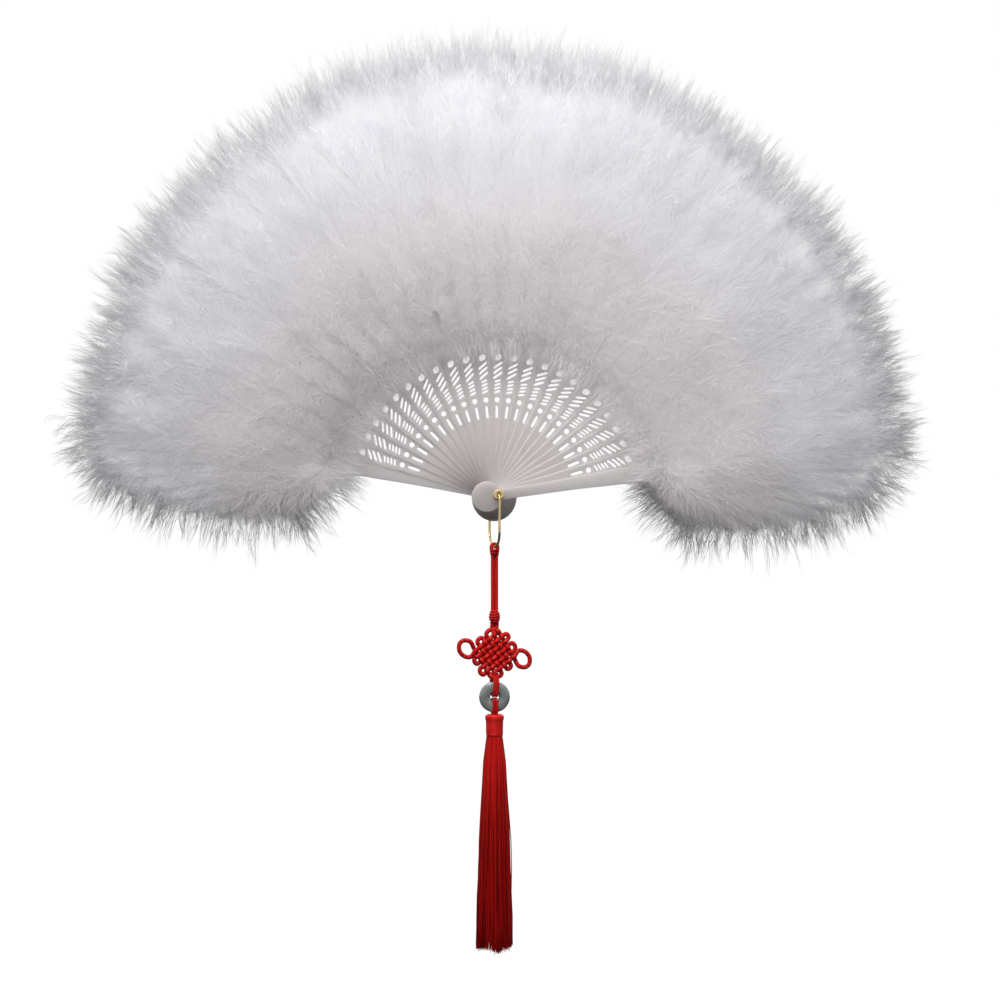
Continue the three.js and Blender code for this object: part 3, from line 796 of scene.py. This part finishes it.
def rounded(corners, size):  # cut each corner of a profile with two points
    p = np.asarray(corners, float)
    before = p[1:-1] + unit(p[:-2] - p[1:-1]) * size
    after = p[1:-1] + unit(p[2:] - p[1:-1]) * size
    middle = (before + after + 2 * p[1:-1]) / 4
    return np.concatenate([p[:1], np.stack([before, middle, after], 1).reshape(-1, 2), p[-1:]])


# rivet and washer: profiles spun about the pivot, the rivet with a flange, a rolled lip and a blind bore at each end
def buildRivet():
    m = metalSpec
    near = stackHalf + m.gap
    front, end = -(near + m.flangeThick), near + m.washerThick + m.gap + m.lipThick
    under, lip = front + m.flangeThick, end - m.lipThick
    first, last = front + m.boreDepth, end - m.boreDepth
    profile = [[0, first], [m.bore, first], [m.bore, front], [m.flange, front], [m.flange, under],
               [m.rivet, under], [m.rivet, lip], [m.lip, lip], [m.lip, end], [m.bore, end],
               [m.bore, last], [0, last]]
    shape = spun(rounded(profile, m.soft) * mm, 40, "y", (0, 0, 0))
    shapePiece("rolled_rivet", shape, brass, bodyName(middlePlace), ["pivot_rivet"], "brass")
    hole, far = m.rivet + m.washerPlay, near + m.washerThick
    ring = [[hole, near], [m.washer, near], [m.washer, far], [hole, far]]
    ring = rounded(ring + ring[:2], m.washerSoft)[1:-3]
    shape = spun(ring * mm, 40, "y", (0, 0, 0), True)
    shapePiece("brass_washer", shape, brass, bodyName(middlePlace), ["rivet_washer"], "brass")


# bail: a wire from the bore, round a bend, down, and back up in a half oval
def buildBail():
    m = metalSpec
    bend = m.bailBend
    inner = stackHalf + m.gap - m.boreDepth + m.bailEnd
    straight = m.bailDrop - m.bailBow
    quarter, half = np.linspace(0, pi / 2, 5), np.linspace(0, pi, 25)
    corner = columns(m.bailHalf - bend + bend * sin(quarter), -bend + bend * cos(quarter))
    loop = columns(m.bailHalf * cos(half), -straight - m.bailBow * sin(half))
    ends = [[inner, 0], [(inner + m.bailHalf - bend) / 2, 0]]
    side = np.concatenate([ends, corner, [[m.bailHalf, -straight * m.bailKnee]]])
    flat = np.concatenate([side, loop, (side * [-1, 1])[::-1]])
    line = smoothPath(columns(0, *flat.T), 4) * mm
    shapePiece("brass_bail", tube(line, m.wire * mm, 16, (1, 0, 0)), brass, "bail", ["wire_bail"], "brass")


buildRivet()
buildBail()
print("rivet and bail made")

# sticks: one pierced plan with softened edges, copied to each place; two plain guards
# slit: from, to, half width. Dot and eye: at, half width, half height.
# rows of slots: count, from, step, height, half width, slope
stickSpec = Spec(head=9.0, headBack=7.0, hole=1.95, neckAt=15.0, neckHalf=3.2, panelAt=46.0, panelHalf=3.7,
    shoulderAt=88.0, shoulderHalf=5.35, shoulderPull=1, ribAt=93.5, ribHalf=2.2, tipAt=205.0, tipHalf=1.5,
    guardExtra=0.8, soft=0.3, slit=(46.0, 53.2, 0.75), slitPower=4.5, dot=(57.0, 1.5, 1.5), eye=(82.4, 2.0, 1.8),
    eyePower=2.4, eyeSlope=0.25, rowPower=3.6, rows=((4, 61.2, 2.15, 1.15, 1.85, 0.35), (3, 70.8, 3.0, 1.6, 2.7, 0.7)))


def pulled(a, b, c, steps):  # quadratic curve from a to c pulled towards b
    t = np.linspace(0, 1, steps + 1)[:, None]
    return (1 - t) ** 2 * np.array(a) + 2 * t * (1 - t) * np.array(b) + t ** 2 * np.array(c)


# outline and holes of one stick: a round head, a waist, a panel, shoulders and a rib with a round tip
def stickPlan(extra, pierced):
    s = stickSpec
    start = np.arccos(s.neckHalf / s.head)
    turn = np.linspace(start, -pi - start, 49)
    head = columns(s.head * cos(turn), s.head * sin(turn) - s.headBack)
    neck = pulled(head[-1], (-s.neckHalf, s.neckAt), (-s.panelHalf, s.panelAt), 8)[1:]
    top, pull = (-s.shoulderHalf, s.shoulderAt), (-s.shoulderHalf, s.ribAt - s.shoulderPull)
    shoulder = pulled(top, pull, (-s.ribHalf - extra, s.ribAt), 8)
    tipTurn, tipHalf = np.linspace(pi, pi / 2, 6), s.tipHalf + extra
    tip = columns(tipHalf * cos(tipTurn), s.tipAt - s.tipHalf - extra + tipHalf * sin(tipTurn))
    left = np.concatenate([neck, shoulder, tip])
    outline = np.concatenate([head, left, (left[:-1] * [-1, 1])[::-1]])
    holes = [roundHole(0, s.hole, s.hole, 28)]
    if pierced:
        low, high, half = s.slit
        holes.append(roundHole((low + high) / 2, half, (high - low) / 2, 24, s.slitPower))
        holes.append(roundHole(*s.dot, 20))
        holes.append(roundHole(*s.eye, 24, s.eyePower, s.eyeSlope))
        for count, first, step, tall, half, slope in s.rows:
            holes += [roundHole(first + k * step + tall / 2, half, tall / 2, 18, s.rowPower, slope)
                      for k in range(count)]
    return [outline] + holes


# plate of a plan in millimetres, its edges rounded over, standing with +Z along the stick
def softPlate(plan, thick):
    soft = stickSpec.soft
    data = bpy.data.curves.new("plan", "CURVE")
    data.dimensions, data.fill_mode = "2D", "BOTH"
    data.extrude, data.bevel_depth, data.bevel_resolution, data.offset = thick / 2 - soft, soft, 1, -soft
    for ring in plan:
        spline = data.splines.new("POLY")
        spline.points.add(len(ring) - 1)
        spline.points.foreach_set("co", columns(*ring.T, 0, 1).ravel())
        spline.use_cyclic_u = True
    holder = linked("plan", data)
    bpy.context.view_layer.update()
    made = bpy.data.meshes.new_from_object(holder.evaluated_get(bpy.context.evaluated_depsgraph_get()))
    bpy.data.objects.remove(holder)
    work = bmesh.new()
    work.from_mesh(made)
    bmesh.ops.remove_doubles(work, verts=work.verts, dist=0.001)
    bmesh.ops.recalc_face_normals(work, faces=work.faces)
    work.to_mesh(made)
    work.free()
    points = np.zeros(len(made.vertices) * 3)
    made.vertices.foreach_get("co", points)
    points = points.reshape(-1, 3)
    return columns(points[:, 0], -points[:, 2], points[:, 1]), made


# each plan made once, copied, set to its depth in the stack and turned to its angle
def buildSticks():
    plans = {True: softPlate(stickPlan(stickSpec.guardExtra, False), fold.guardThick),
             False: softPlate(stickPlan(0, True), fold.stickThick)}
    for place in range(lastPlace + 1):
        points, pattern = plans[guardSide(place) != 0]
        mesh = pattern.copy()
        mesh.name = ("plain_guard_" if guardSide(place) else "pierced_stick_") + f"{place:02d}"
        moved = turned(points + [0, stickDepth(place), 0], place) * mm
        mesh.vertices.foreach_set("co", moved.astype(np.float32).ravel())
        mesh.update()
        addPiece(mesh, [plastic], bodyName(place), [nodeName(place, "stick")], "white_plastic")
    print("sticks cut", len(plans[False][0]))


buildSticks()

# ribbon that links the ribs: one short bowed length from each stick to the next, carried by the first
ribbonSpec = Spec(at=96.6, wide=3.6, thick=0.3, over=0.8, sag=1.4, rows=13, flat=0.25)


# depth eased from the back of one stick to the next, reach sagging by a squared sine
def buildRibbon():
    s = ribbonSpec
    rows = s.rows
    t = np.linspace(0, 1, rows)
    ease = np.clip((t - s.flat) / (1 - 2 * s.flat), 0, 1)  # flat on a stick, then over to the next
    ease = ease * ease * (3 - 2 * ease)
    reach = s.at - s.sag * sin(pi * t) ** 2
    for place in range(lastPlace):
        back = [stickDepth(k) + stickThick(k) / 2 + fold.gap for k in (place, place + 1)]
        depth = back[0] + (back[1] - back[0]) * ease
        angle = radians(stickAngle(place) + s.over - t * fold.pitch)
        rings = []
        for edge, face in ((-0.5, 0), (-0.5, 1), (0.5, 1), (0.5, 0)):
            far = reach + edge * s.wide
            rings.append(columns(far * cos(angle), depth + face * s.thick, far * sin(angle)))
        points = np.stack(rings, 1).reshape(-1, 3) * mm
        ends = np.array([[3, 2, 1, 0], np.arange(4) + 4 * (rows - 1)])
        mesh = meshFrom(f"link_ribbon_{place:02d}", points, [gridFaces(rows, 4), ends], False)
        addPiece(mesh, [satin], bodyName(place), ["link_ribbon"] if place == 0 else [], "white_ribbon")


buildRibbon()
print("ribbon laid")

# marabou: quills along each rib, with small tufts of fine barbs all round them and a looser rim behind
plumeSpec = Spec(start=93.0, seed=41, steps=3, width=0.17, taper=0.62, deep=39.0, soft=0.24,
    uneven=((0.006, 2.4), (0.004, 5.1)), crowded=0.016, ragged=0.014, widths=(0.7, 1.25), turnOut=0.45, shorter=0.066,
    fullAt=75, fullHalf=86, oval=(178, 95, 42), lobeHalf=55,
    front=Spec(end=241.0, long=34.0, limit=263.0, tufts=660, quills=(-1.6, 1.6), lobe=-12.0, vary=(0.92, 1.03)),
    rear=Spec(end=250.0, long=32.0, limit=268.0, tufts=300, quills=(-2.25, 0.0, 2.2), lobe=0.0, vary=(0.96, 1.01)))
# the guards' hanging lobes: slant and length of each quill, and how far the lower edge hangs along the rib
lobeSpec = Spec(quills=((4, 147), (8, 145), (12, 141), (16, 134), (20.5, 124), (25.5, 107), (31, 90), (38, 73),
    (47, 57), (60, 41), (80, 28)),
    edge=((88, 4), (94, 20), (108, 37), (116, 42), (148, 50), (187, 50), (200, 47), (219, 43), (230, 39), (240, 29),
    (254, 10)), tufts=255, ragged=(-0.03, 0.10), rimPast=40)
quillSpec = Spec(slant=0.5, low=1.5, bow=7.0, early=0.8, closing=0.55, thick=(0.55, 0.15), rows=9)
# dull: the most share of a quill's barbs given painted shade in grey down
tuftSpec = Spec(barbs=4, along=(1.05, 0.85), around=110, at=(0, 0.5, 1), open=(((78, 60, 40), 17), ((58, 38, 22), 22)),
    puff=0.18, puffs=(6, 10), phase=6.3, sizeAt=(0, 0.07, 0.25, 0.7, 1), size=(0.42, 0.62, 0.88, 1, 0.76),
    vary=(0.7, 1.2), quillVary=(0.82, 1.08), knee=0.46, shift=0.02, short=(0.7, 1.06), looseBend=4.6, looseTip=5.6,
    stray=5.0, warmAt=(155, 195), warm=(0.96, 0.04), warmVary=15, dull=0.16)
rimSpec = Spec(tufts=235, lobeTufts=760, barbs=4, width=0.27, swing=2.5, start=245.0, deep=21.0, limit=289.0,
    inside=(-3, 14), along=2, depth=4.5, lean=0.17, long=(7, 16), skew=1.3, sway=0.11, fuzz=0.5,
    vary=(0.72, 1.05), foot=3, bend=(0.5, 1.8, 1), tip=(1, 0.6, 1.4))
curlSpec = Spec(count=16, barbs=22, swing=4, far=(200, 246), depth=(13, 21), lean=0.34, ahead=-0.25, long=(15, 27),
    hook=6, inside=4, at=(0.05, 1), barb=(4, 8), taper=0.4, fork=(0.8, 0.6), stray=0.15, knee=0.55, past=0.3)
collarSpec = Spec(count=800, aside=6, depth=(0.5, 4), at=(91, 108), long=(8, 20), stray=(0.7, 1.8), width=0.8,
    lean=((0, 0.35), (0.3, 1.0), (-0.2, 0.55)))
wispSpec = Spec(count=380, locks=4, aside=5.5, stray=1.4, depth=(1, 6), at=(92, 101), long=(9, 23), lockLong=(0.5, 1.3),
    loose=1.5, leanAside=0.25, leanOut=0.4)
midDepth = 0.45  # share of a stick's depth that its plume keeps at the outer edge
# the grey that the rim and the shaded barbs share is painted shade
whiteTint, warmTint, shaftTint, rimTint, shadedTint = range(5)  # the rim and the dull barbs share the grey


def reachShare(angle):  # plumes are shorter towards the two guards
    return 1 - plumeSpec.shorter * ((angle - plumeSpec.fullAt) / plumeSpec.fullHalf) ** 2


# direction out of the fluff: away from the oval middle line of the plumes, and sideways in the hanging lobes
def outward(points, hang):
    x, y, z = points.T
    middle, long, deep = plumeSpec.oval
    r = np.hypot(x, z)
    reach = (r - middle) / long ** 2
    aside = hang * np.maximum(hang * x, 0) / plumeSpec.lobeHalf ** 2
    return unit(columns(x / r * reach + aside, y / deep ** 2, z / r * reach))


# ribbons that taper to a point along many curves at once, each given by its root, its bend and its tip
def strands(root, bend, tip, width, facing):
    steps = plumeSpec.steps
    t = (np.arange(steps) / steps)[None, :, None]
    r, b, e = root[:, None], bend[:, None], tip[:, None]
    line = (1 - t) ** 2 * r + 2 * t * (1 - t) * b + t ** 2 * e
    ahead = unit(2 * (1 - t) * (b - r) + 2 * t * (e - b))
    side = unit(np.cross(ahead, facing[:, None]))
    size = width[:, None, None] * (1 - plumeSpec.taper * t) / 2
    edge = np.stack([line + side * size, line - side * size], 2)
    points = np.concatenate([edge.reshape(len(root), -1, 3), e], 1)
    first = (np.arange(len(root)) * (2 * steps + 1))[:, None, None]
    quad = np.array([0, 1, 3, 2]) + 2 * np.arange(steps - 1)[:, None]
    last = np.arange(3)[None] + 2 * steps - 2
    return points.reshape(-1, 3), (quad[None] + first).reshape(-1, 4), (last[None] + first).reshape(-1, 3)


def batch(root, bend, tip, tint, width=plumeSpec.width, limit=0.0):  # strands of one kind, with what they share
    count = len(root)
    return root, bend, tip, np.broadcast_to(tint, count), np.full(count, width), np.full(count, limit)


# quills of one face of one plume, each with its directions, length, start and tufts
def quillsOf(place, face, out, dice):
    spec, start = plumeSpec[face], plumeSpec.start
    full = spec.end * reachShare(stickAngle(place)) - start
    made = [(slant + dice.normal(0, quillSpec.slant), full * dice.uniform(*spec.vary), start, spec.tufts)
            for slant in spec.quills]
    if guardSide(place):
        made += [(guardSide(place) * slant, length + spec.lobe, start + 1 + slant / 10, lobeSpec.tufts)
                 for slant, length in lobeSpec.quills]
    quills = []
    for slant, length, start, tufts in made:
        turn = radians(slant)
        quills.append(Spec(length=length, start=start, tufts=tufts, out=out, depth=stickDepth(place),
                           along=fromRib(turn), side=fromRib(turn + pi / 2)))
    return quills


# points on a quill: bowed outward by half a sine wave, while the depth of the stack closes in
def onQuill(quill, at):
    s = quillSpec
    lift = s.low + s.bow * sin(pi * np.clip(at, 0, 1) ** s.early)
    deep = quill.depth * (1 - s.closing * at) + quill.out * lift
    return columns(0, deep, quill.start) + at[..., None] * quill.length * quill.along


# tufts along a quill: bundles of barbs that leave it at a wide angle, then bend to run along it
def quillTufts(quill, long, dice):
    s = tuftSpec
    count, each, along = quill.tufts, s.barbs, quill.along
    t = dice.beta(*s.along, count)
    swing = radians(dice.uniform(-s.around, s.around, count))
    around = sin(swing)[:, None] * quill.side + cos(swing)[:, None] * np.array([0, quill.out, 0])
    aims = []
    for angles, vary in s.open:
        opening = radians(np.interp(t, s.at, angles) + dice.normal(0, vary, count))
        aims.append(cos(opening)[:, None] * along + sin(opening)[:, None] * around)
    puff = 1 + s.puff * sin(quill.length * t / dice.uniform(*s.puffs) + dice.uniform(0, s.phase))
    size = long * np.interp(t, s.sizeAt, s.size) * puff * dice.uniform(*s.vary, count) * dice.uniform(*s.quillVary)
    knee = onQuill(quill, t) + aims[0] * (s.knee * size)[:, None]
    end = knee + aims[1] * ((1 - s.knee) * size)[:, None]
    root = onQuill(quill, np.clip(np.repeat(t, each) + dice.normal(0, s.shift, count * each), 0, 1))
    loose = dice.normal(0, 1, (count * each, 3))
    short = dice.uniform(*s.short, count * each)[:, None]
    stray = dice.normal(0, s.stray, (count * each, 3))
    bend = root + (np.repeat(knee, each, 0) + loose * s.looseBend - root) * short
    tip = root + (np.repeat(end, each, 0) + loose * s.looseTip + stray - root) * short
    warm = np.interp(np.hypot(tip[:, 0], tip[:, 2]) + dice.normal(0, s.warmVary), s.warmAt, s.warm)
    tint = np.where(dice.random(len(root)) < warm, warmTint, whiteTint)
    # painted shade: a random share of each quill's barbs take the grey down, for darker clumps
    tint[dice.random(len(root)) < s.dull * dice.random() ** 2] = shadedTint
    return batch(root, bend, tip, tint)


# feet and directions of the fringe, which stands straight out of the plumes' outer edge and of the lobes' lower edge
def rimFeet(place, hang, share, dice):
    s = rimSpec
    swing = radians(dice.normal(0, s.swing, s.tufts))
    far = s.start * share + dice.uniform(0, s.deep, s.tufts)
    away = fromRib(swing)
    feet, leans = [away * far[:, None]], [away]
    if hang:
        along, below = np.array(lobeSpec.edge, float).T
        edge = smoothPath(columns(hang * below, 0, along), 8)
        ahead = unit(np.gradient(edge, axis=0))
        across = hang * columns(ahead[:, 2], 0, -ahead[:, 0])
        pick = dice.integers(0, len(edge), s.lobeTufts)
        inside = dice.uniform(*s.inside, len(pick))[:, None]
        feet.append(edge[pick] - across[pick] * inside + ahead[pick] * dice.normal(0, s.along, (len(pick), 1)))
        leans.append(across[pick])
    foot, lean = np.concatenate(feet), np.concatenate(leans)
    foot[:, 1] += midDepth * stickDepth(place) + dice.normal(0, s.depth, len(foot))
    return foot, unit(lean + dice.normal(0, s.lean, lean.shape))


# barbs of the rim: each a soft cord of a few strands that sway together, given grey down as painted shade
def rimBarbs(place, hang, share, dice):
    s = rimSpec
    foot, lean = rimFeet(place, hang, share, dice)
    far = s.long[0] + s.long[1] * dice.random((len(foot), 1)) ** s.skew
    sway = dice.normal(0, s.sway, foot.shape) * far
    foot, lean, far, sway = (np.repeat(v, s.barbs, 0) for v in (foot, lean, far, sway))
    fuzz = dice.normal(0, s.fuzz, foot.shape)
    far = far * dice.uniform(*s.vary, far.shape)
    bend, tip = (foot + lean * far * at + aside * sway + loose * fuzz for at, aside, loose in (s.bend, s.tip))
    return batch(foot + s.foot * fuzz, bend, tip, rimTint, s.width, s.limit)


# loose curled tips over the edge of the front fluff, with barbs on both sides of each
def curledTips(place, share, dice):
    s = curlSpec
    count, each = s.count, s.barbs
    swing = radians(dice.uniform(-s.swing, s.swing, count))
    far = share * dice.uniform(*s.far, count)
    away = fromRib(swing)
    depth = midDepth * stickDepth(place) - dice.uniform(*s.depth, count)
    foot = away * far[:, None] + columns(0, depth, 0)
    lean = unit(away + dice.normal(0, s.lean, away.shape) + [0, s.ahead, 0]) * dice.uniform(*s.long, count)[:, None]
    hook = dice.normal(0, s.hook, away.shape)
    foot, lean, hook = (np.repeat(v, each, 0) for v in (foot, lean, hook))
    t = dice.uniform(*s.at, count * each)[:, None]
    ahead = unit(lean + 2 * t * hook)
    side = unit(np.cross(ahead, [0.0, 1.0, 0.0])) * np.where(dice.random(t.shape) < 0.5, 1, -1)
    point = foot + lean * t + hook * t ** 2
    point[:, 1] = np.maximum(point[:, 1], s.inside - plumeSpec.deep)
    size = dice.uniform(*s.barb, t.shape) * (1 - s.taper * t)
    barb = unit(ahead * s.fork[0] + side * s.fork[1] + dice.normal(0, s.stray, ahead.shape)) * size
    return batch(point, point + barb * s.knee, point + barb + ahead * s.past * size, whiteTint)


# short down over the feet of the quills, much of it leaning in over the sticks
def collarDown(place, out, dice):
    s = collarSpec
    count = s.count
    foot = columns(dice.uniform(-s.aside, s.aside, count), stickDepth(place) + out * dice.uniform(*s.depth, count),
                   dice.uniform(*s.at, count))
    aside, away, along = s.lean
    lean = unit(columns(dice.normal(*aside, count), out * dice.uniform(*away, count), dice.normal(*along, count)))
    size = dice.uniform(*s.long, count)[:, None]
    bend, tip = (foot + lean * size * at + dice.normal(0, stray, (count, 3)) for at, stray in zip((0.5, 1), s.stray))
    return batch(foot, bend, tip, warmTint, plumeSpec.width * s.width)


# wisps in a few locks that hang over the tops of the sticks
def wispLocks(place, dice):
    s = wispSpec
    count, locks = s.count, s.locks
    lock = dice.integers(0, locks, count)
    aside = dice.uniform(-s.aside, s.aside, locks)[lock] + dice.normal(0, s.stray, count)
    foot = columns(aside, stickDepth(place) - dice.uniform(*s.depth, count), dice.uniform(*s.at, count))
    lean = unit(columns(dice.normal(0, s.leanAside, count), -dice.uniform(0, s.leanOut, count), -1))
    size = (dice.uniform(*s.long, count) * dice.uniform(*s.lockLong, locks)[lock])[:, None]
    bend, tip = (foot + lean * size * at + dice.normal(0, s.loose, (count, 3)) for at in (0.5, 1))
    return batch(foot, bend, tip, warmTint)


# a lobe's dense part ends at its edge, and its rim a little past it
def trimToLobe(ends, hang, tint, dice):
    along, below = np.array(lobeSpec.edge, float).T
    past = np.where(tint == rimTint, lobeSpec.rimPast, 0)
    for end in ends:
        most = np.interp(end[:, 2], along, below) * (1 + dice.normal(*lobeSpec.ragged, len(end))) + past
        end[:, 0] = np.where(hang * end[:, 0] > most, hang * most, end[:, 0])


# depth eases off towards its limit
def easeDepth(ends):
    deep = plumeSpec.deep
    soft = plumeSpec.soft * deep
    for end in ends:
        over = np.maximum(np.abs(end[:, 1]) - deep + soft, 0)
        end[:, 1] = np.sign(end[:, 1]) * (np.abs(end[:, 1]) - over + soft * (1 - np.exp(-over / soft)))


# one face of one plume, made with its rib along +Z and turned to its place
def plumeFace(place, face):
    s, spec = plumeSpec, plumeSpec[face]
    out = -1.0 if face == "front" else 1.0
    hang = guardSide(place)
    dice = np.random.default_rng(s.seed + 2 * place + (out > 0))
    (swell, often), (ripple, quick) = s.uneven
    share = reachShare(stickAngle(place)) * (1 + swell * sin(place * often) + ripple * sin(place * quick))
    long = spec.long * (1 - s.crowded * max(0, out * stickDepth(place)))
    quills = quillsOf(place, face, out, dice)
    batches = [quillTufts(quill, long, dice) for quill in quills]
    if face == "rear":
        batches += [rimBarbs(place, hang, share, dice), collarDown(place, out, dice)]
    else:
        batches += [curledTips(place, share, dice), collarDown(place, out, dice), wispLocks(place, dice)]
    root, bend, tip, tint, width, limit = (np.concatenate(v) for v in zip(*batches))
    far = np.hypot(tip[:, 0], tip[:, 2])
    limit = np.where(limit > 0, limit, spec.limit) * share * (1 - np.abs(dice.normal(0, s.ragged, len(far))))
    pull = np.minimum(1, limit / far)
    tip = tip * columns(pull, 1, pull)
    if hang:
        trimToLobe((bend, tip), hang, tint, dice)
    easeDepth((bend, tip))
    width = width * dice.uniform(*s.widths, len(root))
    facing = unit(outward(bend, hang) + dice.normal(0, s.turnOut, (len(root), 3)))
    points, quads, tris = strands(root, bend, tip, width, facing)
    rows = np.linspace(0, 1, quillSpec.rows)
    thick = np.linspace(*quillSpec.thick, len(rows))
    stems, stemFaces, _ = joined([tube(onQuill(quill, rows), thick, 5, (0.1, 1, 0)) for quill in quills])
    faces = [quads, tris] + [f + len(points) for f in stemFaces]
    tint = np.minimum(tint, rimTint)
    slots = [np.repeat(tint, s.steps - 1), tint] + [np.full(len(f), shaftTint) for f in stemFaces]
    whole = turned(np.concatenate([points, stems]), place) * mm
    mesh = meshFrom(f"marabou_{face}_{place:02d}", whole, faces, slots=np.concatenate(slots))
    tints = [whiteDown, warmDown, shaft, shadeGreyDown]
    return addPiece(mesh, tints, bodyName(place), [nodeName(place, "plume")], "white_feather")


def buildPlumes():  # both faces of every plume, and a count of their triangles
    total = 0
    for place in range(lastPlace + 1):
        for face in ("rear", "front"):
            piece = plumeFace(place, face)
            total += len(piece.data.loops) - 2 * len(piece.data.polygons)
    print("plumes made, triangles", total)


buildPlumes()

newLow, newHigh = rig.bounds()
with open("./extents.json", "w") as note:
    json.dump({"cad": [list(cadLow), list(cadHigh)], "scene": [list(newLow), list(newHigh)]}, note)
print("size", [round(v, 4) for v in (*newLow, *newHigh)])
